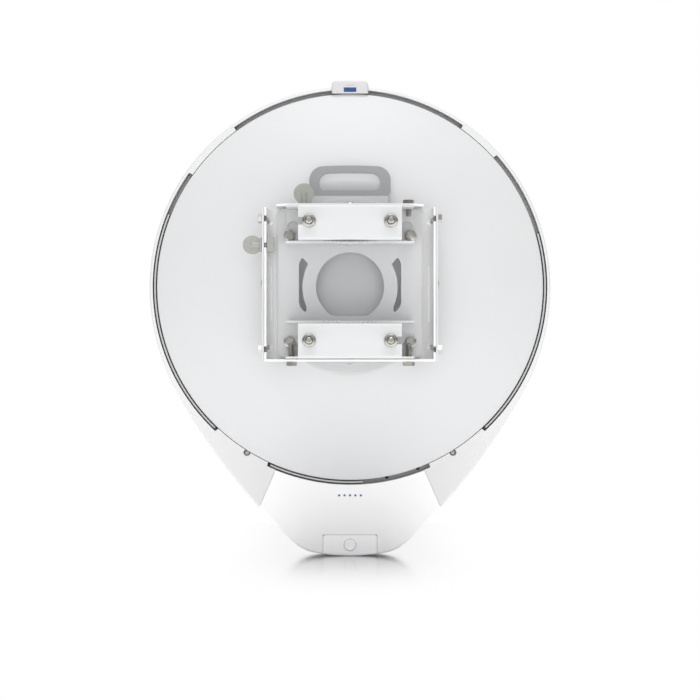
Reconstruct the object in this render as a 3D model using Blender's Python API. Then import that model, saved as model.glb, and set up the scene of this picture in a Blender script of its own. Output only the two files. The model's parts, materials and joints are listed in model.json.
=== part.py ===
"""Outdoor wireless bridge: a dish radio on a two-axis sheet-metal bracket with a two-jaw pole clamp.

The model's origin is on the pole's axis, level with the dish's centre.  +Z is up, +Y is where the
dish points, and the pole clamp is on the -Y side.  Sizes below are in millimetres.
"""

import math

import bmesh
import bpy
from mathutils import Matrix, Vector

MM = 0.001
GAP = 0.3                      # between pieces that touch
SHEET = 2.0                    # sheet metal of the bracket
ROUND = 12                     # sides of a fastener
TURN = math.tau

# Housing
SHELL_RADIUS = 200.5           # upper half of the teardrop
SHELL_ARCS = [(217, 28.8, 9), (607, 46.1, 4), (163, 50.0, 2), (41, 80.2, 8)]   # radius, end angle, steps
SHELL_BACK, SHELL_FRONT = 158.0, 206.0
SHELL_WALL = 3.0
CAVITY_RADIUS = 197.4          # round cavity that holds the dish
LEDGE_RADIUS, LEDGE_BACK = 194.0, 174.8
CHIN_WALL, CHIN_EDGE = 200.6, 200.2        # wall between dish and chin, before and after the cover's cut
BOSS_RADIUS, BOSS_DEPTH = 193.4, 171.3
BOSSES = [(42, 55), (126, 144.5), (-133, -115), (-66, -47)]      # angles of the closed stretches
RIBS = [(-47, 16), (158, 227), (245, 274)]                       # angles where the rim ring stands high
RADOME_FRONT = 226.0
COVER_DEPTH = 186.0            # how far forward the chin cover wraps
COVER_WALL = 2.5
COVER_EDGE = 197.8             # cover's inner arc, at the groove round the dish
COVER_LIP = 160.8              # where the wall round the dish starts, under the cover
SEAM_ANGLE = 22.1              # from straight down to where the cover's seams start
SEAM_OUT, SEAM_DOWN = 90.3, -219.6
SCREW_X, SCREW_Z = 103.0, -165.4   # screws of the housing, tucked under the dish's lip
SCREW_BACK = 160.4
DRAINS = [(37.0, -190.8), (68.1, -182.0)]
DRAIN_RADIUS = 1.7

# Dish
DISH_RADIUS = 192.9
FOCAL = 142.0
DISH_SHEET = 1.8
HUB_HOLE = 62.0
SKIRT_FRONT = 171.5

# Hub
HUB_DROP = -1.4
HUB_FACE = 93.0
HUB_RADIUS = 86.3
HUB_STEP_RADIUS = 77.8
CUP_RADIUS, CUP_FRONT, CUP_WALL = 59.5, 124.0, 3.0
POCKET = 3.5                   # depth of the hub's floor and of the handle's seat
HANDLE_X, HANDLE_TOP, HANDLE_FOOT = 39.6, 116.6, 79.5
HANDLE_BACK, HANDLE_FRONT = 96.8, 103.0
HANDLE_NECK, HANDLE_STEP = 37.2, 89.6      # half-width of the foot, and where it starts
GRIP_X, GRIP_LOW, GRIP_HIGH = 29.7, 92.4, 109.5
TONGUE_TOP = 86.9              # part of the hub that backs the handle's foot
HUB_SCREW = 34.0

# Bracket
AZIMUTH_Y, ELEVATION_Y = 52.0, 56.0
SWING = 7.0                    # degrees each way, both axes
YOKE_X = 84.0                  # outside of the arms
YOKE_BACK = 90.6
PAN_X = 81.7
PAN_BACK = 80.0
PAN_BEND = 14.0
WALL_EDGE = 48.6
PAN_TOP, PAN_BOTTOM = 76.0, -73.9
RECESS, RECESS_LOW, RECESS_HIGH = 0.6, -35.9, 18.3     # shallow pad on each bend
FLANGE_EDGE = 38.0
FLANGE_X = 70.3
AZIMUTH_BOLT_X = 56.0
THUMB_X, COIN_RADIUS = -43.9, 9.8
COIN_THICK = 3.0
ELEVATION_BOLT_Z = 62.7
SIDE_THUMB_Z, SIDE_COIN_RADIUS = 37.4, 9.0
PLATE_BACK = 63.0

# Pole clamp
POLE_RADIUS = 25.0
JAW_ANGLE = math.radians(60)   # half of the V
JAW_APEX = POLE_RADIUS / math.sin(JAW_ANGLE)
JAW_NOTCH = 25.0               # half-width of the V
JAW_EDGE = JAW_APEX - JAW_NOTCH / math.tan(JAW_ANGLE)
CLAMP_X, CLAMP_HIGH, CLAMP_LOW = 37.5, 55.6, -54.2
OUTER_JAW_LOW, OUTER_JAW_HIGH = 38.4, 70.9
INNER_JAW_X, OUTER_JAW_X = 60.4, 47.7
INNER_WEB = 60.2
OUTER_WEB = -32.0
BOLT_END = -50.0
M6, M6_HOLE = 2.95, 3.3
M5, M5_HOLE = 2.45, 2.85
CORNER_X, CORNER_HIGH, CORNER_LOW = 58.0, 46.3, -55.3

# Chin
LIGHT_Z, LIGHT_PITCH = -208.4, 5.4
DOOR_X, DOOR_TOP = 26.85, -248.0
BUTTON_Z = -258.0
BUTTON_RADIUS = 5.9


for old in list(bpy.data.objects):
    bpy.data.objects.remove(old, do_unlink=True)


# ---------------------------------------------------------------- materials

def material(name, colour, roughness, metallic=0.0):
    """Principled material, made once for each name."""
    made = bpy.data.materials.get(name)
    if made:
        return made
    made = bpy.data.materials.new(name)
    made.use_nodes = True
    shader = made.node_tree.nodes["Principled BSDF"]
    shader.inputs["Base Color"].default_value = (*colour, 1.0)
    shader.inputs["Roughness"].default_value = roughness
    shader.inputs["Metallic"].default_value = metallic
    return made


SHELL_WHITE = material("shell_white", (0.80, 0.80, 0.81), 0.45)
DISH_WHITE = material("dish_white", (0.76, 0.77, 0.79), 0.5)
PAINT_WHITE = material("bracket_paint", (0.80, 0.81, 0.82), 0.42)
STEEL = material("bolt_steel", (0.45, 0.44, 0.40), 0.3, 1.0)
COIN_STEEL = material("coin_steel", (0.36, 0.37, 0.34), 0.5, 0.8)
HANDLE_GREY = material("handle_grey", (0.34, 0.35, 0.37), 0.5)
HUB_GREY = material("hub_grey", (0.62, 0.63, 0.65), 0.5)
BOARD_GREEN = material("board_green", (0.03, 0.16, 0.08), 0.5)
VIAL_BLUE = material("vial_blue", (0.03, 0.09, 0.30), 0.2)
LIGHT_BLUE = material("light_blue", (0.08, 0.25, 0.60), 0.3)
ALUMINIUM = material("bare_aluminium", (0.70, 0.71, 0.72), 0.35, 1.0)


# ---------------------------------------------------------------- outlines

def arc(u, v, radius, start, end, steps):
    """Points along an arc, angles in degrees, both ends included."""
    turns = [math.radians(start + (end - start) * k / steps) for k in range(steps + 1)]
    return [(u + radius * math.cos(a), v + radius * math.sin(a)) for a in turns]


def circle(u, v, radius, steps=ROUND):
    return arc(u, v, radius, 0, 360, steps)[:-1]


def rectangle(u0, v0, u1, v1):
    return [(u0, v0), (u1, v0), (u1, v1), (u0, v1)]


def rounded(u0, v0, u1, v1, radius, steps=4):
    """Rectangle with round corners."""
    return (arc(u1 - radius, v0 + radius, radius, -90, 0, steps)
            + arc(u1 - radius, v1 - radius, radius, 0, 90, steps)
            + arc(u0 + radius, v1 - radius, radius, 90, 180, steps)
            + arc(u0 + radius, v0 + radius, radius, 180, 270, steps))


def pear(u0, v0, r0, u1, v1, r1, steps=6):
    """Hull of two circles: a keyhole, or a straight slot when both are the same size."""
    across = math.hypot(u1 - u0, v1 - v0)
    heading = math.degrees(math.atan2(v1 - v0, u1 - u0))
    open_angle = math.degrees(math.acos((r0 - r1) / across))
    return (arc(u0, v0, r0, heading + open_angle, heading + 360 - open_angle, steps)
            + arc(u1, v1, r1, heading - open_angle, heading + open_angle, steps))


def arc_slot(u, v, radius, half_width, start, end, steps=4):
    """Slot that follows an arc about (u, v), with round ends."""
    a, b = math.radians(start), math.radians(end)
    first = (u + radius * math.cos(a), v + radius * math.sin(a))
    last = (u + radius * math.cos(b), v + radius * math.sin(b))
    return (arc(u, v, radius + half_width, start, end, steps)
            + arc(*last, half_width, end, end + 180, 4)[1:-1]
            + arc(u, v, radius - half_width, end, start, steps)
            + arc(*first, half_width, start + 180, start + 360, 4)[1:-1])


def teardrop(inset=0.0):
    """Housing outline, a chain of tangent arcs, moved inwards by inset."""
    right = [(x, z) for x, z in arc(0, 0, SHELL_RADIUS - inset, 90, 0, 18)]
    x, z, start = SHELL_RADIUS, 0.0, 0.0
    for radius, end, steps in SHELL_ARCS:
        for k in range(1, steps + 1):
            a = -math.radians(start + (end - start) * k / steps)
            px = x + radius * (math.cos(a) - math.cos(math.radians(start)))
            pz = z + radius * (math.sin(a) + math.sin(math.radians(start)))
            right.append((px - inset * math.cos(a), pz - inset * math.sin(a)))
        x, z, start = px, pz, end
    base = x / math.cos(math.radians(start))
    for k in range(1, 4):
        a = -math.radians(start + (90 - start) * k / 3)
        px = base * math.cos(a)
        pz = z + base * (math.sin(a) + math.sin(math.radians(start)))
        right.append((px - inset * math.cos(a), pz - inset * math.sin(a)))
    right[-1] = (0.0, right[-1][1])
    return right + [(-u, v) for u, v in reversed(right[1:-1])]


def dish_back(radius):
    """Y of the reflector's rear surface."""
    return SHELL_BACK - (DISH_RADIUS ** 2 - radius ** 2) / (4 * FOCAL)


# ---------------------------------------------------------------- solids

def at(axis, u, v, w):
    """World point of plane coordinates u, v at w along the named axis."""
    if axis == "X":
        return (w, u, v)
    if axis == "Y":
        return (u, w, v)
    return (u, v, w)


def skin(name, loops, finish, cyclic=False, smooth=30):
    """Closed solid through loops of equal count: capped at both ends, or closed on itself."""
    shape = bmesh.new()
    rings = [[shape.verts.new(Vector(p) * MM) for p in loop] for loop in loops]
    count = len(rings[0])
    pairs = list(zip(rings, rings[1:] + rings[:1])) if cyclic else list(zip(rings, rings[1:]))
    for one, two in pairs:
        for k in range(count):
            n = (k + 1) % count
            shape.faces.new((one[k], one[n], two[n], two[k]))
    if not cyclic:
        shape.faces.new(rings[0])
        shape.faces.new(rings[-1])
    bmesh.ops.recalc_face_normals(shape, faces=shape.faces)
    mesh = bpy.data.meshes.new(name)
    shape.to_mesh(mesh)
    shape.free()
    mesh.shade_smooth()
    mesh.set_sharp_from_angle(angle=math.radians(smooth))
    made = bpy.data.objects.new(name, mesh)
    bpy.context.scene.collection.objects.link(made)
    if finish:
        mesh.materials.append(finish)
    return made


def prism(name, outline, axis, low, high, finish=None):
    return skin(name, [[at(axis, u, v, w) for u, v in outline] for w in (low, high)], finish)


def section(sides, size, steps):
    """Round section of radius size, or a polygon with size as its inscribed radius."""
    points = []
    for k in range(steps):
        a = TURN * k / steps
        reach = size
        if sides:
            part = TURN / sides
            reach = size / math.cos((a + part / 2) % part - part / 2)
        points.append((reach * math.cos(a), reach * math.sin(a)))
    return points


def turned(name, profile, axis, centre, finish=None, cyclic=False, steps=ROUND):
    """Solid stacked along an axis through centre.  profile holds (size, w) or (size, w, sides)."""
    loops = []
    for size, w, *sides in profile:
        ring = section(sides[0] if sides else 0, size, steps)
        loops.append([at(axis, centre[0] + u, centre[1] + v, w) for u, v in ring])
    return skin(name, loops, finish, cyclic)


def combine(target, tool, operation):
    """Boolean with a hidden tool object."""
    tool.hide_render = True
    tool.display_type = "WIRE"
    step = target.modifiers.new(tool.name, "BOOLEAN")
    step.operation = operation
    step.solver = "EXACT"
    step.object = tool


def cut(target, *tools):
    for tool in tools:
        combine(target, tool, "DIFFERENCE")


def hole(target, axis, u, v, radius, low, high, steps=12):
    """Round hole along an axis."""
    number = len(target.modifiers)
    cut(target, prism(f"{target.name}_hole_{number}", circle(u, v, radius, steps), axis, low, high))


def opening(target, outline, axis, low, high):
    """Hole of any outline along an axis."""
    number = len(target.modifiers)
    cut(target, prism(f"{target.name}_opening_{number}", outline, axis, low, high))


# ---------------------------------------------------------------- pole clamp

def channel(web, edge, low, high):
    """U section in the Y-Z plane: web's outer face at Y web, open at Y edge."""
    way = 1 if edge > web else -1
    bend, inner = 3.0, 3.0 - SHEET

    def corner(radius, z, start, end):
        points = arc(0, 0, radius, start, end, 3)
        return [(web + way * (bend + u), z + v) for u, v in points]

    outer = ([(edge, low)] + corner(bend, low + bend, 270, 180)
             + corner(bend, high - bend, 180, 90) + [(edge, high)])
    inside = ([(edge, high - SHEET)] + corner(inner, high - bend, 90, 180)
              + corner(inner, low + bend, 180, 270) + [(edge, low + SHEET)])
    return outer + inside


def v_notch(side):
    """Toothed V in the X-Y plane that grips the pole; side is -1 for the outer jaw, 1 for the inner."""
    teeth, depth, first = 5, 1.3, 0.22
    flank = [(0.0, JAW_APEX)]
    for k in range(2 * teeth + 1):
        along = first + (1 - first) * k / (2 * teeth)
        sink = depth if k % 2 else 0.0
        flank.append((along * JAW_NOTCH + sink * math.cos(JAW_ANGLE),
                      JAW_APEX - along * JAW_NOTCH / math.tan(JAW_ANGLE) + sink * math.sin(JAW_ANGLE)))
    right = [(x, side * y) for x, y in flank] + [(JAW_NOTCH, side * (JAW_EDGE - 5))]
    return [(-x, y) for x, y in reversed(right[1:])] + right


def inner_jaw(name, low, high, clamp_z, corner_z, mouth_z, upright_bolts):
    """Channel fixed to the mount plate; upright bolts join its outer flange to the pan."""
    jaw = prism(name, channel(INNER_WEB + SHEET, JAW_EDGE, low, high), "X",
                -INNER_JAW_X, INNER_JAW_X, PAINT_WHITE)
    opening(jaw, v_notch(1), "Z", low - 5, high + 5)
    for x in (-CLAMP_X, CLAMP_X):
        side = M6_HOLE
        opening(jaw, rectangle(x - side, clamp_z - side, x + side, clamp_z + side),
                "Y", INNER_WEB - 3, INNER_WEB + 5)
    for x in (-1, 1):
        opening(jaw, pear(x * CORNER_X, corner_z, M6_HOLE, x * (CORNER_X - 3.6), mouth_z, 6.0),
                "Y", INNER_WEB - 3, INNER_WEB + 5)
    flange = high if clamp_z > 0 else low
    for x in upright_bolts:
        hole(jaw, "Z", x, AZIMUTH_Y, M6_HOLE, flange - 4, flange + 4)
    return jaw


def outer_jaw(name, z, open_side):
    """Loose channel with a hole for one clamp bolt and an open slot for the other."""
    low, high = sorted((math.copysign(OUTER_JAW_LOW, z), math.copysign(OUTER_JAW_HIGH, z)))
    jaw = prism(name, channel(OUTER_WEB, -JAW_EDGE, low, high), "X",
                -OUTER_JAW_X, OUTER_JAW_X, PAINT_WHITE)
    opening(jaw, v_notch(-1), "Z", low - 5, high + 5)
    hole(jaw, "Y", -open_side * CLAMP_X, z, M6_HOLE, OUTER_WEB - 3, OUTER_WEB + 5)
    start, end = open_side * CLAMP_X, open_side * (OUTER_JAW_X + 6)
    opening(jaw, pear(start, z, M6_HOLE + 0.2, end, z, M6_HOLE + 0.2), "Y", OUTER_WEB - 3, OUTER_WEB + 5)
    return jaw


def clamp_bolt(name, x, z):
    """Carriage bolt: domed head behind the jaw, square neck, long shank towards -Y."""
    back = INNER_WEB + SHEET + GAP
    return turned(name, [(4.0, back + 3.2), (6.6, back + 2.2), (7.4, back), (2.95, back, 4),
                         (2.95, INNER_WEB - 0.5, 4), (M6, INNER_WEB - 1.0), (M6, BOLT_END + 1.0),
                         (M6 - 0.8, BOLT_END)], "Y", (x, z), STEEL, steps=16)


def flange_nut(name, x, z):
    seat = OUTER_WEB - GAP
    bore = M6 + 0.35
    return turned(name, [(bore, seat), (6.4, seat), (6.3, seat - 1.2), (5.0, seat - 2.0, 6),
                         (5.0, seat - 6.0, 6), (bore, seat - 6.0)], "Y", (x, z), STEEL, cyclic=True)


def hex_bolt(name, axis, centre, seat, way, flats, head, shank, length, nose=0.6):
    """Hex head standing off a seat, the shank going the other way."""
    return turned(name, [(flats - 0.5, seat + way * head), (flats, seat + way * (head - 0.6), 6),
                         (flats, seat, 6), (shank, seat), (shank, seat - way * (length - nose)),
                         (shank - nose, seat - way * length)], axis, centre, STEEL)


def build_pole_clamp():
    inner_jaw("inner_jaw_upper", 37.3, PAN_TOP - SHEET - GAP - 0.5, CLAMP_HIGH, CORNER_HIGH, 54.2,
              (THUMB_X, 0, AZIMUTH_BOLT_X))
    inner_jaw("inner_jaw_lower", PAN_BOTTOM + SHEET + GAP + 0.5, -35.4, CLAMP_LOW, CORNER_LOW, -61.6,
              (-AZIMUTH_BOLT_X, 0, AZIMUTH_BOLT_X))
    outer_jaw("outer_jaw_upper", CLAMP_HIGH, -1)
    outer_jaw("outer_jaw_lower", CLAMP_LOW, 1)
    for level, clamp_z, corner_z in (("upper", CLAMP_HIGH, CORNER_HIGH), ("lower", CLAMP_LOW, CORNER_LOW)):
        for side, turn in (("left", -1), ("right", 1)):
            clamp_bolt(f"clamp_bolt_{level}_{side}", turn * CLAMP_X, clamp_z)
            flange_nut(f"flange_nut_{level}_{side}", turn * CLAMP_X, clamp_z)
            hex_bolt(f"corner_screw_{level}_{side}", "Y", (turn * CORNER_X, corner_z),
                     INNER_WEB - GAP, -1, 5.0, 4.0, M6, 10.0)
    plate = prism("mount_plate", rounded(-68.7, PAN_BOTTOM + 3.5, 68.7, PAN_TOP - 3.5, 7.0), "Y",
                  PLATE_BACK, PLATE_BACK + SHEET, PAINT_WHITE)
    opening(plate, d_window(), "Y", PLATE_BACK - 4, PLATE_BACK + 6)
    for turn in (-1, 1):
        opening(plate, crescent(turn), "Y", PLATE_BACK - 4, PLATE_BACK + 6)
        for z in (CLAMP_HIGH, CLAMP_LOW):
            hole(plate, "Y", turn * CLAMP_X, z, 8.0, PLATE_BACK - 4, PLATE_BACK + 6, 16)
        for z in (CORNER_HIGH, CORNER_LOW):
            hole(plate, "Y", turn * CORNER_X, z, M6_HOLE, PLATE_BACK - 4, PLATE_BACK + 6)


def d_window():
    """Round window with a flat at its bottom."""
    radius, centre, flat = 32.7, -2.0, -30.4
    drop = math.degrees(math.asin((flat - centre) / radius))
    return arc(0, centre, radius, drop, 180 - drop, 32)


def crescent(turn):
    """Slot between an upright outer edge and an arc about the window's centre."""
    edge, radius, centre = 49.0, 45.6, -2.6
    outer = [(edge, -18.4), (edge, 19.2)]
    top = [(48.2, 22.9), (46.6, 25.2), (45.6, 25.6), (44.6, 24.7), (43.1, 22.4)]
    inner = arc(0, centre, radius, math.degrees(math.asin((19.3 - centre) / radius)),
                math.degrees(math.asin((-21.1 - centre) / radius)), 8)
    bottom = [(41.7, -24.6), (42.3, -26.3), (43.3, -26.6), (45.8, -24.9), (47.8, -21.6)]
    return [(turn * x, z) for x, z in outer + top + inner + bottom]


# ---------------------------------------------------------------- two-axis bracket

def build_pan():
    bend_x, bend_y = PAN_X - PAN_BEND, PAN_BACK - PAN_BEND
    half = ([(58, FLANGE_EDGE), (FLANGE_X, WALL_EDGE), (PAN_X, WALL_EDGE)]
            + arc(bend_x, bend_y, PAN_BEND, 0, 90, 6))
    pan = prism("gimbal_pan", half + [(-x, y) for x, y in reversed(half)], "Z",
                PAN_BOTTOM, PAN_TOP, PAINT_WHITE)
    inside = [(PAN_X - SHEET, FLANGE_EDGE - 8)] + arc(bend_x, bend_y, PAN_BEND - SHEET, 0, 90, 6)
    opening(pan, inside + [(-x, y) for x, y in reversed(inside)], "Z",
            PAN_BOTTOM + SHEET, PAN_TOP - SHEET)
    opening(pan, circle(0, 0, 56.0, 36), "Y", PAN_BACK - 9, PAN_BACK + 5)
    for turn in (-1, 1):
        low, high = sorted((turn * FLANGE_X, turn * (PAN_X + 5)))
        opening(pan, rectangle(low, WALL_EDGE - 10, high, PAN_BACK + 5), "Z", 73.0, PAN_TOP + 5)
        low, high = sorted((turn * 70.7, turn * (PAN_X + 5)))
        deep, sweep = PAN_BEND - SHEET + RECESS, 49.5
        recess = ([(bend_x + deep, 60)] + arc(bend_x, bend_y, deep, 0, sweep, 4)
                  + arc(bend_x, bend_y, deep - 3, sweep, 0, 4) + [(bend_x + deep - 3, 60)])
        opening(pan, [(turn * x, y) for x, y in recess], "Z", RECESS_LOW, RECESS_HIGH)
        for z in (-1, 1):
            opening(pan, arc_slot(ELEVATION_Y, 0, ELEVATION_BOLT_Z, M5_HOLE,
                                  z * 90 - SWING - (9 if z > 0 else 0),
                                  z * 90 + SWING + (9 if z < 0 else 0)), "X", low, high)
        hole(pan, "X", ELEVATION_Y, 0, M6_HOLE, low, high)
    opening(pan, arc_slot(ELEVATION_Y, 0, SIDE_THUMB_Z, M6_HOLE, 90 - SWING - 1, 90 + SWING + 1), "X",
            -PAN_X - 5, -PAN_X + 5)
    for angle, radius, low, high in ((0, AZIMUTH_BOLT_X, PAN_TOP - 5, PAN_TOP + 5),
                                     (180, -THUMB_X, PAN_TOP - 5, PAN_TOP + 5),
                                     (0, AZIMUTH_BOLT_X, PAN_BOTTOM - 5, PAN_BOTTOM + 5),
                                     (180, AZIMUTH_BOLT_X, PAN_BOTTOM - 5, PAN_BOTTOM + 5)):
        opening(pan, arc_slot(0, AZIMUTH_Y, radius, M6_HOLE, angle - SWING - 1, angle + SWING + 1),
                "Z", low, high)
    for z in (PAN_TOP, PAN_BOTTOM):
        hole(pan, "Z", 0, AZIMUTH_Y, M6_HOLE, z - 5, z + 5)
    return pan


def build_yoke():
    bend = 4.0
    corner_x, corner_y = YOKE_X - bend, YOKE_BACK + SHEET - bend
    half = [(YOKE_X, WALL_EDGE - 0.6)] + arc(corner_x, corner_y, bend, 0, 90, 4)
    yoke = prism("hub_yoke", half + [(-x, y) for x, y in reversed(half)], "Z",
                 PAN_BOTTOM - 0.6, 73.5, PAINT_WHITE)
    inside = [(YOKE_X - SHEET, WALL_EDGE - 9)] + arc(corner_x, corner_y, bend - SHEET, 0, 90, 4)
    opening(yoke, inside + [(-x, y) for x, y in reversed(inside)], "Z", PAN_BOTTOM - 9, 80)
    for turn in (-1, 1):
        low, high = sorted((turn * (YOKE_X - 5), turn * (YOKE_X + 5)))
        for z in (-ELEVATION_BOLT_Z, ELEVATION_BOLT_Z):
            hole(yoke, "X", ELEVATION_Y, z, M5_HOLE, low, high)
        hole(yoke, "X", ELEVATION_Y, 0, M6_HOLE, low, high)
        for z in (-HUB_SCREW, HUB_SCREW):
            hole(yoke, "Y", turn * HUB_SCREW, z, 2.3, YOKE_BACK - 4, YOKE_BACK + 6)
    hole(yoke, "X", ELEVATION_Y, SIDE_THUMB_Z, M6_HOLE, -YOKE_X - 5, -YOKE_X + 5)
    return yoke


def rivet(name, axis, centre, seat, way, head, length):
    """Low pivot rivet: flat head outside, shank inwards."""
    return turned(name, [(3.4, seat + way * head), (4.2, seat + way * (head - 0.4)), (4.2, seat),
                         (M6, seat), (M6, seat - way * length)], axis, centre, STEEL)


def thumbscrew(name, axis, centre, seat, way, coin, collar, length):
    """Thumbscrew whose head is a flat upright coin, with a collar and a shank."""
    stem = turned(name, [(M6, seat - way * length), (M6, seat), (collar, seat), (collar, seat + way * 1.4),
                         (3.2, seat + way * 1.4), (3.2, seat + way * (coin + 0.1))],
                  axis, centre, COIN_STEEL)
    middle, half = seat + way * (coin + 0.1), COIN_THICK / 2
    if axis == "Z":
        disc = turned(name + "_coin", [(coin, centre[1] - half), (coin, centre[1] + half)], "Y",
                      (centre[0], middle), steps=24)
    else:
        disc = turned(name + "_coin", [(coin, centre[0] - half), (coin, centre[0] + half)], "Y",
                      (middle, centre[1]), steps=24)
    combine(stem, disc, "UNION")
    return stem


def build_bracket():
    build_pan()
    build_yoke()
    top, bottom = PAN_TOP + GAP, PAN_BOTTOM - GAP
    rivet("azimuth_pivot_top", "Z", (0, AZIMUTH_Y), top, 1, 2.2, 7.5)
    rivet("azimuth_pivot_bottom", "Z", (0, AZIMUTH_Y), bottom, -1, 2.2, 7.5)
    hex_bolt("azimuth_bolt_top_right", "Z", (AZIMUTH_BOLT_X, AZIMUTH_Y), top, 1, 5.0, 4.0, M6, 12.0)
    for side, turn in (("left", -1), ("right", 1)):
        x = turn * AZIMUTH_BOLT_X
        hex_bolt(f"azimuth_bolt_bottom_{side}", "Z", (x, AZIMUTH_Y), bottom, -1, 5.0, 4.0, M6, 17.0)
        rivet(f"elevation_pivot_{side}", "X", (ELEVATION_Y, 0), turn * (YOKE_X + GAP), turn, 1.0, 4.5)
        for level, z in (("upper", ELEVATION_BOLT_Z), ("lower", -ELEVATION_BOLT_Z)):
            hex_bolt(f"elevation_bolt_{level}_{side}", "X", (ELEVATION_Y, z), turn * (YOKE_X + GAP),
                     turn, 4.0, 3.5, M5, 4.5)
            turned(f"yoke_screw_{level}_{side}",
                   [(3.2, YOKE_BACK - GAP - 2.0), (3.8, YOKE_BACK - GAP - 1.6), (3.8, YOKE_BACK - GAP),
                    (1.9, YOKE_BACK - GAP), (1.9, HUB_FACE + 3.0)], "Y",
                   (turn * HUB_SCREW, math.copysign(HUB_SCREW, z)), STEEL)
    thumbscrew("azimuth_thumbscrew", "Z", (THUMB_X, AZIMUTH_Y), top, 1, COIN_RADIUS, 5.4, 11.0)
    thumbscrew("elevation_thumbscrew", "X", (ELEVATION_Y, SIDE_THUMB_Z), -YOKE_X - GAP, -1,
               SIDE_COIN_RADIUS, 7.0, 10.5)
    block = prism("elevation_nut_block", rectangle(ELEVATION_Y - 4.8, SIDE_THUMB_Z - 7,
                                                   ELEVATION_Y + 4.8, SIDE_THUMB_Z + 7), "X",
                  -PAN_X + SHEET + GAP + 0.1, -72.5, COIN_STEEL)
    hole(block, "X", ELEVATION_Y, SIDE_THUMB_Z, M6_HOLE, -PAN_X - 5, -65)


# ---------------------------------------------------------------- hub and dish

def build_hub():
    under = [(r, dish_back(r) - 1.0) for r in (HUB_RADIUS, 72.0, CUP_RADIUS + 1.0)]
    hub = turned("hub_housing", [(HUB_STEP_RADIUS, HUB_FACE), (HUB_STEP_RADIUS, HUB_FACE + 0.8),
                                 (HUB_RADIUS - 1.2, HUB_FACE + 0.8), (HUB_RADIUS, HUB_FACE + 2.0)]
                 + under + [(CUP_RADIUS, under[-1][1]), (CUP_RADIUS, CUP_FRONT),
                            (CUP_RADIUS - CUP_WALL, CUP_FRONT), (CUP_RADIUS - CUP_WALL, HUB_FACE + POCKET)],
                 "Y", (0, HUB_DROP), HUB_GREY, steps=48)
    combine(hub, prism("hub_tongue", rectangle(-HANDLE_NECK, 70, HANDLE_NECK, TONGUE_TOP), "Y",
                       HUB_FACE + 1.2, HUB_FACE + POCKET), "UNION")
    opening(hub, rectangle(-HANDLE_X - GAP, HANDLE_FOOT - GAP, HANDLE_X + GAP, 100), "Y",
            HUB_FACE + POCKET, 120)
    for x in (-HUB_SCREW, HUB_SCREW):
        for z in (-HUB_SCREW, HUB_SCREW):
            hole(hub, "Y", x, z, 2.3, HUB_FACE - 4, HUB_FACE + 8, 12)
    return hub


def build_handle():
    """Flat handle with a long grip hole; its foot is a little narrower than its sides."""
    corner = arc(HANDLE_X - 14, HANDLE_TOP - 14, 14, 0, 90, 6)
    foot = [(HANDLE_NECK, HANDLE_FOOT), (HANDLE_NECK, HANDLE_STEP), (HANDLE_X, HANDLE_STEP + 1.6)]
    right = foot + corner
    handle = prism("carry_handle", right + [(-x, z) for x, z in reversed(right)], "Y",
                   HANDLE_BACK, HANDLE_FRONT, HANDLE_GREY)
    opening(handle, rounded(-GRIP_X, GRIP_LOW, GRIP_X, GRIP_HIGH, 7.0, 4), "Y",
            HANDLE_BACK - 3, HANDLE_FRONT + 3)
    step = handle.modifiers.new("edge", "BEVEL")
    step.width = 1.2 * MM
    step.segments = 2
    step.limit_method = "ANGLE"
    step.angle_limit = math.radians(50)
    return handle


def build_dish():
    radii = [HUB_HOLE, 88, 118, 146, 170, 190.9]
    back = [(r, dish_back(r)) for r in radii]
    rim = [(DISH_RADIUS - 0.6, SHELL_BACK + 0.2), (DISH_RADIUS, SHELL_BACK + 1.2), (DISH_RADIUS, SKIRT_FRONT),
           (DISH_RADIUS - DISH_SHEET, SKIRT_FRONT), (DISH_RADIUS - DISH_SHEET, SHELL_BACK + 2.6)]
    front = [(r, dish_back(r) + DISH_SHEET) for r in reversed(radii[:-1])]
    dish = turned("dish_reflector", back + rim + front, "Y", (0, 0), DISH_WHITE, cyclic=True, steps=72)
    for turn in (-1, 1):
        notch = circle(turn * SCREW_X, SCREW_Z, 4.2, 16)
        opening(dish, notch, "Y", SCREW_BACK - GAP, SKIRT_FRONT + 5)


def build_rim_ring():
    """Ring floor under the gap, with a rib that stands high along some stretches."""
    floor, front = SKIRT_FRONT + GAP, LEDGE_BACK - GAP
    stretches = sorted((a % 360, b % 360) for a, b in RIBS)
    marks = set(range(0, 360, 5))
    for pair in stretches:
        for mark in pair:
            marks.update((mark - 0.15, mark + 0.15))
    loops = []
    for angle in sorted(marks):
        high = any((a < b and a < angle < b) or (a > b and (angle > a or angle < b))
                   for a, b in stretches)
        rib = SHELL_BACK + 0.9 if high and not near_boss(angle) else floor - 0.1
        profile = [(188.0, floor), (194.3, floor), (194.3, rib), (196.0, rib), (196.0, floor),
                   (197.1, floor), (197.1, front), (188.0, front)]
        c, s = math.cos(math.radians(angle)), math.sin(math.radians(angle))
        loops.append([(r * c, y, r * s) for r, y in profile])
    ring = skin("rim_ring", loops, SHELL_WHITE, cyclic=True)
    for x, z in DRAINS:
        hole(ring, "Y", x, z, DRAIN_RADIUS, floor - 3, front + 3)
    return ring


def near_boss(angle):
    """True where a boss of the housing fills the gap."""
    margin = 0.4
    return any(a - margin < way < b + margin
               for a, b in BOSSES for way in (angle, angle - 360))


def cavity_outline():
    """Round cavity, narrowed where the bosses close the gap."""
    marks = set(range(0, 360, 5))
    edges = []
    for a, b in BOSSES:
        edges += [a % 360, b % 360]
    for mark in edges:
        marks.update((mark - 0.1, mark + 0.1))
    points = []
    for angle in sorted(marks):
        inside = any(a < way < b for a, b in BOSSES for way in (angle, angle - 360))
        radius = BOSS_RADIUS if inside else CAVITY_RADIUS
        points.append((radius * math.cos(math.radians(angle)), radius * math.sin(math.radians(angle))))
    return points


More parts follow.
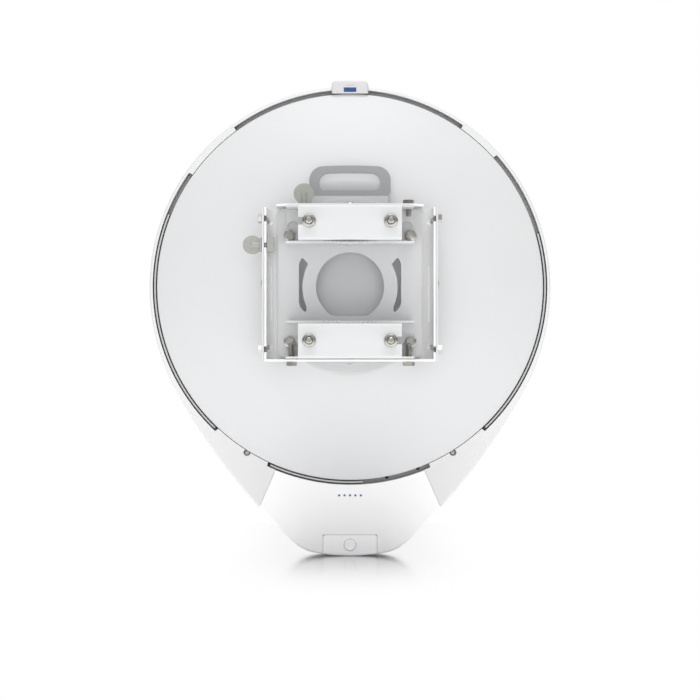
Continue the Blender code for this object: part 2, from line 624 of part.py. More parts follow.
def chin_space(inset, inner):
    """Crescent between the wall around the dish and the housing's outline."""
    outer = [p for p in teardrop(inset) if math.hypot(*p) > inner + 2.0 and p[1] < 0]
    ends = [math.degrees(math.atan2(z, x)) for x, z in (outer[0], outer[-1])]
    end = ends[1] if ends[1] < 0 else ends[1] - 360
    return outer + arc(0, 0, inner, end, ends[0], 20)


def chin_region(grow, edge):
    """Outline of the chin cover: an arc above, straight seams at the sides."""
    inner = edge - grow
    swing = SEAM_ANGLE + math.degrees(grow / edge)
    top = arc(0, 0, inner, -90 - swing, -90 + swing, 12)
    start = top[-1]
    out_x, out_z = SEAM_OUT + grow, SEAM_DOWN
    far = ((out_x - start[0]) * 2 + start[0], (out_z - start[1]) * 2 + start[1])
    sides = [far, (far[0], -300), (-far[0], -300), (-far[0], far[1])]
    return top + sides


def housing_block(name, front, finish=None):
    """Full teardrop block with a rounded rear edge."""
    steps = ((2.5, SHELL_BACK), (0.8, SHELL_BACK + 0.7), (0.0, SHELL_BACK + 2.5), (0.0, front))
    return skin(name, [[at("Y", x, z, y) for x, z in teardrop(inset)] for inset, y in steps], finish)


def build_shell():
    shell = housing_block("rear_shell", SHELL_FRONT, SHELL_WHITE)
    opening(shell, cavity_outline(), "Y", SHELL_BACK - 5, BOSS_DEPTH)
    opening(shell, circle(0, 0, CAVITY_RADIUS + 0.5, 72), "Y", BOSS_DEPTH - 1.0, LEDGE_BACK)
    opening(shell, circle(0, 0, LEDGE_RADIUS, 72), "Y", LEDGE_BACK - 1.0, SHELL_FRONT + 5)
    opening(shell, chin_space(SHELL_WALL, CHIN_WALL), "Y", SHELL_BACK + SHELL_WALL, SHELL_FRONT + 5)
    opening(shell, chin_region(GAP, COVER_EDGE), "Y", SHELL_BACK - 5, COVER_LIP)
    opening(shell, chin_region(GAP, CHIN_EDGE), "Y", SHELL_BACK - 5, COVER_DEPTH + GAP)
    for x, z in DRAINS:
        hole(shell, "Y", x, z, DRAIN_RADIUS, LEDGE_BACK - 1, SHELL_FRONT + 5)
    for name, turn in (("left", -1), ("right", 1)):
        x = turn * SCREW_X
        hole(shell, "Y", x, SCREW_Z, 3.6, SHELL_BACK - 3, SCREW_BACK + 1.5)
        hole(shell, "Y", x, SCREW_Z, 1.7, SHELL_BACK, BOSS_DEPTH - 1, 12)
        turned(f"shell_screw_{name}", [(2.7, SCREW_BACK), (3.0, SCREW_BACK + 0.4), (3.0, SCREW_BACK + 1.2),
                                       (1.4, SCREW_BACK + 1.2), (1.4, BOSS_DEPTH - 2)], "Y",
               (x, SCREW_Z), STEEL)
    return shell


def build_radome():
    """Smooth cap over the housing's front."""
    back = SHELL_FRONT + GAP
    pivot = Vector((0.0, -20.0))
    base = teardrop(24.0)

    def shrunk(factor):
        return [tuple(pivot + (Vector(p) - pivot) * factor) for p in base]

    outer = [(teardrop(0.0), back), (teardrop(0.4), back + 4.0), (teardrop(4.0), back + 9.5),
             (teardrop(12.0), back + 13.5), (base, back + 15.8), (shrunk(0.72), RADOME_FRONT - 1.8),
             (shrunk(0.36), RADOME_FRONT - 0.4), (shrunk(0.08), RADOME_FRONT)]
    inner = [(shrunk(0.08), RADOME_FRONT - 2.4), (shrunk(0.60), RADOME_FRONT - 4.2),
             (base, back + 12.6), (teardrop(7.0), back + 7.5), (teardrop(3.0), back)]
    loops = [[at("Y", x, z, y) for x, z in outline] for outline, y in outer + inner]
    return cap_shell("radome_front", loops, len(outer), SHELL_WHITE)


def cap_shell(name, loops, outer_count, finish):
    """Closed cap: the outer and inner skins each end in a small flat, and meet at the rim."""
    shape = bmesh.new()
    rings = [[shape.verts.new(Vector(p) * MM) for p in loop] for loop in loops]
    count = len(rings[0])
    pairs = [(k, k + 1) for k in range(len(rings) - 1) if k != outer_count - 1]
    pairs.append((len(rings) - 1, 0))
    for a, b in pairs:
        for k in range(count):
            n = (k + 1) % count
            shape.faces.new((rings[a][k], rings[a][n], rings[b][n], rings[b][k]))
    shape.faces.new(rings[outer_count - 1])
    shape.faces.new(rings[outer_count])
    bmesh.ops.recalc_face_normals(shape, faces=shape.faces)
    mesh = bpy.data.meshes.new(name)
    shape.to_mesh(mesh)
    shape.free()
    mesh.shade_smooth()
    mesh.materials.append(finish)
    made = bpy.data.objects.new(name, mesh)
    bpy.context.scene.collection.objects.link(made)
    return made


# ---------------------------------------------------------------- chin, cap and inner parts

def build_chin():
    cover = housing_block("pod_cover", COVER_DEPTH, SHELL_WHITE)
    combine(cover, prism("pod_cover_region", chin_region(0.0, COVER_EDGE), "Y", SHELL_BACK - 5,
                         COVER_DEPTH - 0.2), "INTERSECT")
    opening(cover, teardrop(COVER_WALL), "Y", SHELL_BACK + COVER_WALL, COVER_DEPTH + 5)
    grow = DOOR_X + GAP
    opening(cover, rectangle(-grow, -300, grow, DOOR_TOP + GAP), "Y", SHELL_BACK - 5, COVER_DEPTH + 5)
    for k in range(-2, 3):
        hole(cover, "Y", k * LIGHT_PITCH, LIGHT_Z, 1.2, SHELL_BACK - 3, SHELL_BACK + 6, 12)

    door = housing_block("port_door", COVER_DEPTH - 0.6, SHELL_WHITE)
    combine(door, prism("port_door_region", rounded(-DOOR_X, -300, DOOR_X, DOOR_TOP, 2.0, 3), "Y",
                        SHELL_BACK - 5, COVER_DEPTH - 1.0), "INTERSECT")
    opening(door, teardrop(COVER_WALL), "Y", SHELL_BACK + COVER_WALL, COVER_DEPTH + 5)
    hole(door, "Y", 0, BUTTON_Z, BUTTON_RADIUS + GAP, SHELL_BACK - 3, SHELL_BACK + 6, 24)
    turned("door_latch_button", [(4.6, SHELL_BACK - 0.8), (BUTTON_RADIUS, SHELL_BACK - 0.2),
                                 (BUTTON_RADIUS, SHELL_BACK + 4.0), (7.0, SHELL_BACK + 4.0),
                                 (7.0, SHELL_BACK + 5.0)], "Y", (0, BUTTON_Z), SHELL_WHITE, steps=20)

    pipe = prism("led_light_pipe", rectangle(-13, LIGHT_Z - 2, 13, LIGHT_Z + 2), "Y",
                 SHELL_BACK + 3.2, SHELL_BACK + 5.5, LIGHT_BLUE)
    for k in range(-2, 3):
        combine(pipe, prism(f"light_{k + 2}", circle(k * LIGHT_PITCH, LIGHT_Z, 0.85, 12), "Y",
                            SHELL_BACK + 0.1, SHELL_BACK + 4.0), "UNION")
    prism("main_board", [(-62, -206), (62, -206), (62, -214), (34, -238), (-34, -238), (-62, -214)], "Y",
          181.0, 182.6, BOARD_GREEN)
    jack = prism("ethernet_jack", rectangle(-8, -246, 8, -226), "Y", 166.5, 180.7, ALUMINIUM)
    opening(jack, rectangle(-6, -250, 6, -232), "Y", 169.5, 177.5)


def build_cap():
    cap = prism("gnss_cap", rounded(-18.3, 193.3, 18.3, 206.0, 4.0, 4), "Y",
                SHELL_BACK - 2.8, SHELL_BACK + 36, SHELL_WHITE)
    cut(cap, turned("gnss_cap_saddle", [(SHELL_RADIUS + GAP, SHELL_BACK - GAP),
                                        (SHELL_RADIUS + GAP, SHELL_BACK + 60)], "Y", (0, 0), steps=120))
    opening(cap, rectangle(-15, 199.0, 15, 204.4), "Y", SHELL_BACK + 5, SHELL_BACK + 33)
    opening(cap, rectangle(-6.3, 194.7, 6.3, 199.3), "Y", SHELL_BACK - 5, SHELL_BACK - 0.9)
    prism("level_vial", rectangle(-6, 195, 6, 199), "Y", SHELL_BACK - 2.9, SHELL_BACK - 1.2, VIAL_BLUE)
    prism("gnss_module", rectangle(-12, 201.2, 12, 203.8), "Y", SHELL_BACK + 8, SHELL_BACK + 31,
          BOARD_GREEN)


def build_radio():
    turned("radio_board", [(52.0, 104.0), (52.0, 105.6)], "Y", (0, HUB_DROP), BOARD_GREEN, steps=32)
    turned("feed_horn", [(55.5, 116.0), (55.5, 118.0), (16.0, 121.0), (10.0, 126.0), (9.0, 172.0),
                         (14.0, 190.0), (12.0, 190.0), (6.0, 172.0), (6.0, 116.0)], "Y", (0, HUB_DROP),
           ALUMINIUM, cyclic=True, steps=20)
    turned("subreflector", [(14.0, 190.4), (30.0, 202.0), (30.0, 204.0), (4.0, 201.0)], "Y",
           (0, HUB_DROP), ALUMINIUM, steps=24)


# ---------------------------------------------------------------- bodies

MOVING = {
    "outer_clamp_upper": ("", (0, OUTER_WEB, CLAMP_HIGH), ["outer_jaw_upper", "flange_nut_upper"]),
    "outer_clamp_lower": ("", (0, OUTER_WEB, CLAMP_LOW), ["outer_jaw_lower", "flange_nut_lower"]),
    "azimuth_frame": ("", (0, AZIMUTH_Y, 0), ["gimbal_pan", "elevation_pivot"]),
    "azimuth_knob": ("", (THUMB_X, AZIMUTH_Y, PAN_TOP), ["azimuth_thumbscrew"]),
    "dish_head": ("azimuth_frame", (0, ELEVATION_Y, 0),
                  ["hub_yoke", "yoke_screw", "elevation_bolt", "elevation_nut_block", "hub_housing",
                   "carry_handle", "dish_reflector", "rim_ring", "rear_shell", "radome_front",
                   "shell_screw", "pod_cover", "led_light_pipe", "main_board", "ethernet_jack",
                   "gnss_cap", "gnss_module", "level_vial", "radio_board", "feed_horn",
                   "subreflector"]),
    "elevation_knob": ("dish_head", (-YOKE_X, ELEVATION_Y, SIDE_THUMB_Z), ["elevation_thumbscrew"]),
    "port_door_slide": ("dish_head", (0, SHELL_BACK, DOOR_TOP), ["port_door"]),
    "latch": ("port_door_slide", (0, SHELL_BACK, BUTTON_Z), ["door_latch_button"]),
}


def group_bodies():
    """Put each moving piece's origin on its joint's axis, under an empty that turns or slides it."""
    for name, (parent, origin, starts) in MOVING.items():
        empty = bpy.data.objects.new(name, None)
        bpy.context.scene.collection.objects.link(empty)
        centre = Vector(origin) * MM
        empty.location = centre
        if parent:
            empty.parent = bpy.data.objects[parent]
            empty.matrix_parent_inverse = Matrix.Translation(Vector(MOVING[parent][1]) * MM).inverted()
        for piece in list(bpy.data.objects):
            if piece.type == "MESH" and not piece.hide_render and piece.name.startswith(tuple(starts)):
                piece.data.transform(Matrix.Translation(-centre))
                piece.location = centre
                piece.parent = empty
                piece.matrix_parent_inverse = Matrix.Translation(centre).inverted()


build_pole_clamp()
build_bracket()
build_hub()
build_handle()
build_dish()
build_rim_ring()
build_shell()
build_radome()
build_chin()
build_cap()
build_radio()
group_bodies()
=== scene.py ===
"""Looks of an outdoor wireless bridge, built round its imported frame.

The bridge is a dish radio in a teardrop housing, on a two-axis sheet-metal bracket with a two-jaw
pole clamp.  Lengths are in millimetres, in the frame of the CAD model: +Z is up, +Y is where the
dish points, and the origin is on the pole's axis, level with the dish's centre.
"""

from __future__ import annotations

import json
import logging
import math
from dataclasses import dataclass, field, replace
from enum import Enum
from typing import Any, Sequence, Union

import bmesh
import bpy
from mathutils import Matrix, Vector

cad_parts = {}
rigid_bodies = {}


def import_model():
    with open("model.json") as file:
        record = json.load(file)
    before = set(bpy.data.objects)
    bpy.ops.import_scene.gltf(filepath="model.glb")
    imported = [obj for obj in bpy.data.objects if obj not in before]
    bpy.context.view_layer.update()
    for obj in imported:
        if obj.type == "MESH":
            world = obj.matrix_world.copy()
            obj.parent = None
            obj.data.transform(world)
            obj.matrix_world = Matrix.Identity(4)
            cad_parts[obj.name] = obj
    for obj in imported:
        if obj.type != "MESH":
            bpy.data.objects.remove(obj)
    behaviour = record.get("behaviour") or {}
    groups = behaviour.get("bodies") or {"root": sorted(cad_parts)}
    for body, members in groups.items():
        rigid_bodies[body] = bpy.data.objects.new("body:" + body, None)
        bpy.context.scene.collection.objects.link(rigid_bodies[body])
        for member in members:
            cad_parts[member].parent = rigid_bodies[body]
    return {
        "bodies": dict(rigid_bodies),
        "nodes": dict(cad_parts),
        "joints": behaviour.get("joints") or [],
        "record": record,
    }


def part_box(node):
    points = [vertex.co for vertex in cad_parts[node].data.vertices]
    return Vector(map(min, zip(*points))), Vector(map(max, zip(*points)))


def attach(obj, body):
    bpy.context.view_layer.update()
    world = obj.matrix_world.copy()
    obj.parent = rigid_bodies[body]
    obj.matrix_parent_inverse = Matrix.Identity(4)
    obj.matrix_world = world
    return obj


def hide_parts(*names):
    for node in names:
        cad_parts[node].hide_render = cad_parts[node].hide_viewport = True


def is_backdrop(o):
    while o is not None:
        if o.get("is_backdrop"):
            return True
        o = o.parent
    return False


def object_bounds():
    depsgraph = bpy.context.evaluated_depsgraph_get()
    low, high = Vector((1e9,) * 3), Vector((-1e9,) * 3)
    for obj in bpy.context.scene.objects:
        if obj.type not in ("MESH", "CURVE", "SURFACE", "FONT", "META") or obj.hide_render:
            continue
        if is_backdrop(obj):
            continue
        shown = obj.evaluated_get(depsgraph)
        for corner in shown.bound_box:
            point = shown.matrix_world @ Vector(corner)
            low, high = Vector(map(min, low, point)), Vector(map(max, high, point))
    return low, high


LOG = logging.getLogger("wireless_bridge")
MM = 0.001
SHARP = math.radians(32)   # edges sharper than this stay sharp
BLUNT = math.radians(50)   # only corners sharper than this are rounded, not the facets of round holes

Colour = tuple[float, float, float]
Point2 = tuple[float, float]
Point3 = tuple[float, float, float]
Object = bpy.types.Object
Term = Union["Link", float]


# ------------------------------------------------------------------ node graphs

class Link:
    """An output socket.  Arithmetic on it adds Math nodes to its graph."""

    def __init__(self, graph: Graph, socket: bpy.types.NodeSocket) -> None:
        """Keep the socket and the graph that it is in."""
        self.graph = graph
        self.socket = socket

    def out(self, name: str | int) -> Link:
        """Another output of the same node."""
        return Link(self.graph, self.socket.node.outputs[name])

    def __add__(self, other: Term) -> Link:
        """Sum."""
        return self.graph.maths("ADD", self, other)

    def __sub__(self, other: Term) -> Link:
        """Difference."""
        return self.graph.maths("SUBTRACT", self, other)

    def __rsub__(self, other: Term) -> Link:
        """Difference, with the socket on the right."""
        return self.graph.maths("SUBTRACT", other, self)

    def __mul__(self, other: Term) -> Link:
        """Product."""
        return self.graph.maths("MULTIPLY", self, other)

    def __truediv__(self, other: Term) -> Link:
        """Quotient."""
        return self.graph.maths("DIVIDE", self, other)

    __radd__ = __add__
    __rmul__ = __mul__


class Graph:
    """A node tree that is written as Python expressions."""

    def __init__(self, tree: bpy.types.NodeTree) -> None:
        """Wrap a node tree."""
        self.tree = tree

    def node(self, kind: str, settings: dict[str, Any] | None = None,
             sockets: dict[str | int, Any] | None = None, output: str | int = 0) -> Link:
        """Add a node.

        Args:
            kind: the node's type name.
            settings: its properties, set first; "stops" fills a colour ramp.
            sockets: values or links of its inputs, by name or place; a list makes several links.
            output: which output to return.

        Returns:
            The link to that output.
        """
        made = self.tree.nodes.new(kind)
        for name, value in (settings or {}).items():
            if name == "stops":
                self._fill_ramp(made.color_ramp, value)
            else:
                setattr(made, name, value)
        for name, value in (sockets or {}).items():
            for one in value if isinstance(value, list) else [value]:
                if isinstance(one, Link):
                    self.tree.links.new(one.socket, made.inputs[name])
                else:
                    made.inputs[name].default_value = one
        return Link(self, made.outputs[output] if made.outputs else None)

    @staticmethod
    def _fill_ramp(ramp: bpy.types.ColorRamp, stops: Sequence[tuple[float, Colour]]) -> None:
        """Give a colour ramp its stops."""
        while len(ramp.elements) < len(stops):
            ramp.elements.new(1.0)
        for element, (place, colour) in zip(ramp.elements, stops):
            element.position = place
            element.color = (*colour, 1.0)

    def maths(self, operation: str, *terms: Term) -> Link:
        """Math node on links and numbers."""
        return self.node("ShaderNodeMath", {"operation": operation}, dict(enumerate(terms)))


class Shader(Graph):
    """A material's graph, with the Principled shader as its end."""

    def __init__(self, name: str) -> None:
        """Start an empty material."""
        self.material = bpy.data.materials.new(name)
        self.material.use_nodes = True
        super().__init__(self.material.node_tree)
        self.end = self.tree.nodes["Principled BSDF"]
        self.place = self.node("ShaderNodeTexCoord", output="Object")

    def stretched(self, scale: Point3) -> Link:
        """Object coordinates with each axis scaled."""
        return self.node("ShaderNodeMapping", None, {"Vector": self.place, "Scale": scale})

    def noise(self, size: float, detail: float = 3.0, at: Link | None = None) -> Link:
        """Noise from 0 to 1 with features about size millimetres across."""
        return self.node("ShaderNodeTexNoise", None, {
            "Vector": at or self.place, "Scale": 1 / (size * MM), "Detail": detail})

    def cells(self, size: float, feature: str = "F1") -> Link:
        """Distance to the nearest of scattered points, size millimetres apart."""
        return self.node("ShaderNodeTexVoronoi", {"feature": feature},
                         {"Vector": self.place, "Scale": 1 / (size * MM)}, "Distance")

    def blend(self, factor: Term, low: Colour | Link, high: Colour | Link) -> Link:
        """Colour between two, by a factor."""
        ends = [one if isinstance(one, Link) else (*one, 1.0) for one in (low, high)]
        return self.node("ShaderNodeMix", {"data_type": "RGBA"},
                         {"Factor": factor, 6: ends[0], 7: ends[1]}, 2)

    def bump(self, height: Link, depth: float) -> Link:
        """Normal for a relief of depth millimetres."""
        return self.node("ShaderNodeBump", None, {"Height": height, "Distance": depth * MM, "Strength": 1.0})

    def finish(self, **sockets: Any) -> bpy.types.Material:
        """Feed the Principled shader.

        Args:
            sockets: values or links, by socket name with underscores for spaces.

        Returns:
            The finished material.
        """
        for name, value in sockets.items():
            socket = self.end.inputs[name.replace("_", " ")]
            if isinstance(value, Link):
                self.tree.links.new(value.socket, socket)
            else:
                socket.default_value = value
        return self.material


def shade(colour: Colour, factor: float) -> Colour:
    """A colour made lighter or darker."""
    return tuple(min(1.0, channel * factor) for channel in colour)


# ------------------------------------------------------------------ finishes

@dataclass(frozen=True)
class Finish:
    """What a piece is made of: its material's name, its slot in the record and its base colour."""

    name: str
    slot: str
    colour: Colour

    def build(self) -> bpy.types.Material:
        """Make the material."""
        raise NotImplementedError


@dataclass(frozen=True)
class PowderCoat(Finish):
    """Baked powder paint on sheet metal: soft orange peel and a faint mottle."""

    roughness: float = 0.38
    peel_size: float = 1.6
    peel_depth: float = 0.012

    def build(self) -> bpy.types.Material:
        """Make the material."""
        shader = Shader(self.name)
        mottle = shader.noise(38.0, 2.0)
        peel = shader.noise(self.peel_size, 2.0)
        specks = shader.noise(0.35, 1.0)
        tint = shader.blend(mottle, shade(self.colour, 0.985), shade(self.colour, 1.015))
        return shader.finish(
            Base_Color=tint, Roughness=self.roughness + (mottle - 0.5) * 0.08 + (specks - 0.5) * 0.1,
            Normal=shader.bump(peel + specks * 0.25, self.peel_depth))


@dataclass(frozen=True)
class MouldedPlastic(Finish):
    """Injection-moulded plastic with a fine spark-eroded grain."""

    roughness: float = 0.45
    grain_size: float = 0.55
    grain_depth: float = 0.012

    def build(self) -> bpy.types.Material:
        """Make the material."""
        shader = Shader(self.name)
        flow = shader.noise(60.0, 2.0, shader.stretched((1.0, 1.0, 0.4)))
        grain = shader.cells(self.grain_size, "SMOOTH_F1")
        fine = shader.noise(self.grain_size * 0.5, 2.0)
        tint = shader.blend(flow, shade(self.colour, 0.985), shade(self.colour, 1.01))
        return shader.finish(
            Base_Color=tint, Roughness=self.roughness + (flow - 0.5) * 0.06 + (grain - 0.4) * 0.12,
            Normal=shader.bump(grain + fine * 0.4, self.grain_depth))


@dataclass(frozen=True)
class Stainless(Finish):
    """Cold-headed stainless steel: tool marks round the axis, and a slightly warm tarnish."""

    roughness: float = 0.28
    streak: Point3 = (1.0, 0.12, 1.0)

    def build(self) -> bpy.types.Material:
        """Make the material."""
        shader = Shader(self.name)
        marks = shader.noise(0.25, 3.0, shader.stretched(self.streak))
        stain = shader.noise(4.0, 3.0)
        tint = shader.blend(stain, shade(self.colour, 0.86), shade(self.colour, 1.12))
        return shader.finish(
            Base_Color=tint, Metallic=1.0, Roughness=self.roughness + (marks - 0.5) * 0.22,
            Normal=shader.bump(marks, 0.006))


@dataclass(frozen=True)
class BeadBlasted(Finish):
    """Bead-blasted cast steel: matte, pitted and uneven in tone."""

    roughness: float = 0.55

    def build(self) -> bpy.types.Material:
        """Make the material."""
        shader = Shader(self.name)
        pits = shader.cells(0.45, "SMOOTH_F1")
        cloud = shader.noise(3.2, 4.0)
        tint = shader.blend(cloud, shade(self.colour, 0.82), shade(self.colour, 1.15))
        return shader.finish(
            Base_Color=tint, Metallic=0.35, Roughness=self.roughness + (pits - 0.4) * 0.2,
            Normal=shader.bump(pits + cloud * 0.5, 0.02))


@dataclass(frozen=True)
class TintedWindow(Finish):
    """Clear blue moulding over a darker hollow, with streaks of depth in it."""

    def build(self) -> bpy.types.Material:
        """Make the material."""
        shader = Shader(self.name)
        depth = shader.noise(2.4, 2.0, shader.stretched((2.2, 1.0, 0.6)))
        tint = shader.blend(depth, shade(self.colour, 0.55), shade(self.colour, 1.6))
        return shader.finish(Base_Color=tint, Roughness=0.08 + depth * 0.05, Coat_Weight=0.6,
                             Normal=shader.bump(depth, 0.01))


@dataclass(frozen=True)
class LightGuide(Finish):
    """Blue light guide, lit from inside."""

    glow: float = 0.25

    def build(self) -> bpy.types.Material:
        """Make the material."""
        shader = Shader(self.name)
        haze = shader.noise(0.8, 2.0)
        tint = shader.blend(haze, shade(self.colour, 0.7), shade(self.colour, 1.2))
        return shader.finish(Base_Color=tint, Emission_Color=tint, Emission_Strength=self.glow,
                             Roughness=0.2 + haze * 0.1)


@dataclass(frozen=True)
class SolderMask(Finish):
    """Green circuit board with copper tracks under the mask and tinned pads."""

    def build(self) -> bpy.types.Material:
        """Make the material."""
        shader = Shader(self.name)
        tracks = shader.node("ShaderNodeTexBrick", {"offset": 0.5}, {
            "Vector": shader.node("ShaderNodeMapping", None, {
                "Vector": shader.place, "Rotation": (math.pi / 2, 0.0, 0.0)}),
            "Scale": 1.0, "Brick Width": 7.0 * MM, "Row Height": 2.2 * MM, "Mortar Size": 0.25 * MM}, "Fac")
        pads = shader.maths("LESS_THAN", shader.cells(4.2), 0.17)
        lit = shader.blend(tracks, self.colour, shade(self.colour, 1.9))
        tint = shader.blend(pads, lit, (0.62, 0.60, 0.55))
        return shader.finish(Base_Color=tint, Metallic=pads * 0.9, Roughness=0.32 + pads * 0.1,
                             Normal=shader.bump(tracks + pads, 0.03))


@dataclass(frozen=True)
class MachinedAluminium(Finish):
    """Turned or milled bare aluminium."""

    roughness: float = 0.3

    def build(self) -> bpy.types.Material:
        """Make the material."""
        shader = Shader(self.name)
        lines = shader.noise(0.3, 2.0, shader.stretched((0.2, 1.0, 1.0)))
        tint = shader.blend(lines, shade(self.colour, 0.92), shade(self.colour, 1.05))
        return shader.finish(Base_Color=tint, Metallic=1.0, Roughness=self.roughness + (lines - 0.5) * 0.15,
                             Normal=shader.bump(lines, 0.008))


BRACKET_PAINT = PowderCoat("bracket_powder_coat", "bracket_paint", (0.64, 0.645, 0.65))
# Lighter copy of the bracket's powder coat: painted light, so that the pan's deep bends show as bright as the
# straps.
FRAME_PAINT_WITH_PAINTED_LIGHT = PowderCoat("frame_powder_coat_painted_light", "bracket_paint", (0.93, 0.93, 0.935))
# Darker copy of the bracket's powder coat: painted shade on the mount plate, which sits deep between the
# jaws.
PLATE_PAINT_WITH_PAINTED_SHADE = PowderCoat("plate_powder_coat_painted_shade", "bracket_paint", (0.61, 0.615, 0.62))
DISH_PAINT = PowderCoat("reflector_powder_coat", "dish_white", (0.64, 0.645, 0.65), 0.5, 2.2, 0.008)
SHELL_PLASTIC = MouldedPlastic("housing_plastic", "shell_white", (0.69, 0.69, 0.695), 0.42)
# Lighter copy of the housing plastic: painted light on the chin cover, which the lamps reach less.
COVER_PLASTIC_WITH_PAINTED_LIGHT = MouldedPlastic("cover_plastic_painted_light", "shell_white", (0.89, 0.89, 0.895), 0.42)
# Lighter still: painted light on the port door and its button, which sit back in the chin's recess.
DOOR_PLASTIC_WITH_PAINTED_LIGHT = MouldedPlastic("door_plastic_painted_light", "shell_white", (0.96, 0.96, 0.965), 0.42)
# Darker copy of the housing plastic: painted shade on the rim ring, down in the gap round the dish.
TRIM_PLASTIC_WITH_PAINTED_SHADE = MouldedPlastic("trim_plastic_painted_shade", "shell_white", (0.48, 0.48, 0.485), 0.45)
CAP_PLASTIC = MouldedPlastic("cap_plastic", "shell_white", (0.61, 0.605, 0.615), 0.45)
HANDLE_PLASTIC = MouldedPlastic("handle_plastic", "handle_grey", (0.32, 0.325, 0.335), 0.5, 0.7, 0.02)
HUB_PLASTIC = MouldedPlastic("hub_plastic", "hub_grey", (0.57, 0.573, 0.577), 0.5)
BOLT_STEEL = Stainless("bolt_stainless", "bolt_steel", (0.51, 0.50, 0.465))
COIN_STEEL = BeadBlasted("coin_head_steel", "coin_steel", (0.40, 0.40, 0.375))
VIAL_BLUE = TintedWindow("vial_window", "vial_blue", (0.02, 0.06, 0.2))
LAMP_BLUE = LightGuide("status_light_guide", "light_blue", (0.06, 0.19, 0.45))
BOARD_GREEN = SolderMask("circuit_board", "board_green", (0.02, 0.12, 0.055))
BARE_METAL = MachinedAluminium("machined_aluminium", "bare_aluminium", (0.72, 0.73, 0.74))


# ------------------------------------------------------------------ outlines

def arc(u: float, v: float, radius: float, start: float, end: float, steps: int) -> list[Point2]:
    """Points along an arc, angles in degrees, both ends included."""
    turns = [math.radians(start + (end - start) * k / steps) for k in range(steps + 1)]
    return [(u + radius * math.cos(a), v + radius * math.sin(a)) for a in turns]


def circle(u: float, v: float, radius: float, steps: int = 48) -> list[Point2]:
    """Points round a circle."""
    return arc(u, v, radius, 0, 360, steps)[:-1]


def rectangle(u0: float, v0: float, u1: float, v1: float) -> list[Point2]:
    """Corners of a rectangle."""
    return [(u0, v0), (u1, v0), (u1, v1), (u0, v1)]


def eased(corners: Sequence[Sequence[float]], steps: int = 5, closed: bool = True) -> list[Point2]:
    """Outline whose corners are rounded.

    Args:
        corners: (u, v) for a sharp corner, or (u, v, radius).
        steps: points along each rounding.
        closed: whether the outline runs back to its start.

    Returns:
        The outline's points.
    """
    points: list[Point2] = []
    count = len(corners)
    for k, (u, v, *rest) in enumerate(corners):
        here = Vector((u, v))
        if not rest or rest[0] <= 0 or (not closed and k in (0, count - 1)):
            points.append((u, v))
            continue
        back = Vector(corners[k - 1][:2]) - here
        ahead = Vector(corners[(k + 1) % count][:2]) - here
        half = back.angle(ahead) / 2
        reach = min(rest[0] / math.tan(half), back.length * 0.499, ahead.length * 0.499)
        way = (back.normalized() + ahead.normalized()).normalized()
        centre = here + way * reach / math.cos(half)
        first = here + back.normalized() * reach - centre
        last = here + ahead.normalized() * reach - centre
        start = math.atan2(first.y, first.x)
        sweep = (math.atan2(last.y, last.x) - start + math.pi) % math.tau - math.pi
        points += arc(centre.x, centre.y, first.length, math.degrees(start),
                      math.degrees(start + sweep), steps)
    return points


# ------------------------------------------------------------------ meshes

def span(node: str) -> tuple[Vector, Vector]:
    """Lowest and highest corner of a CAD node, in millimetres."""
    low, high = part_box(node)
    return low / MM, high / MM


def add_object(name: str, mesh: bpy.types.Mesh) -> Object:
    """Put a mesh in the scene as an object at the origin."""
    made = bpy.data.objects.new(name, mesh)
    bpy.context.scene.collection.objects.link(made)
    return made


def shade_mesh(mesh: bpy.types.Mesh) -> None:
    """Smooth a mesh's faces and keep its sharp edges."""
    mesh.shade_smooth()
    mesh.set_sharp_from_angle(angle=SHARP)


def from_bmesh(name: str, shape: bmesh.types.BMesh) -> Object:
    """Turn a bmesh, in millimetres, into an object in metres with its faces outwards."""
    bmesh.ops.scale(shape, vec=(MM,) * 3, verts=shape.verts)
    bmesh.ops.remove_doubles(shape, verts=shape.verts, dist=1e-6)
    bmesh.ops.recalc_face_normals(shape, faces=shape.faces)
    mesh = bpy.data.meshes.new(name)
    shape.to_mesh(mesh)
    shape.free()
    shade_mesh(mesh)
    return add_object(name, mesh)


def loft(name: str, loops: Sequence[Sequence[Point3]], cyclic: bool = False,
         fold: int | None = None) -> Object:
    """Closed skin through loops of equal count.

    Args:
        name: the object's name.
        loops: the loops' points, in millimetres.
        cyclic: whether the last loop joins the first; otherwise both ends are capped.
        fold: with cyclic, the loop after which the skin turns back: it and the next one are capped.

    Returns:
        The object.
    """
    shape = bmesh.new()
    rings = [[shape.verts.new(p) for p in loop] for loop in loops]
    count = len(rings[0])
    following = rings[1:] + rings[:1] if cyclic else rings[1:]
    for number, (one, two) in enumerate(zip(rings, following)):
        if number == fold:
            shape.faces.new(one)
            shape.faces.new(two)
            continue
        for k in range(count):
            n = (k + 1) % count
            shape.faces.new((one[k], one[n], two[n], two[k]))
    if not cyclic:
        shape.faces.new(rings[0])
        shape.faces.new(rings[-1])
    return from_bmesh(name, shape)


class Axis(Enum):
    """Direction that a prism or a turned part runs along."""

    X = "X"
    Y = "Y"
    Z = "Z"

    def point(self, u: float, v: float, w: float) -> Point3:
        """World point of plane coordinates u, v at w along the axis."""
        if self is Axis.X:
            return (w, u, v)
        if self is Axis.Y:
            return (u, w, v)
        return (u, v, w)


def prism(name: str, outline: Sequence[Point2], axis: Axis, low: float, high: float) -> Object:
    """Outline stretched along an axis."""
    return loft(name, [[axis.point(u, v, w) for u, v in outline] for w in (low, high)])


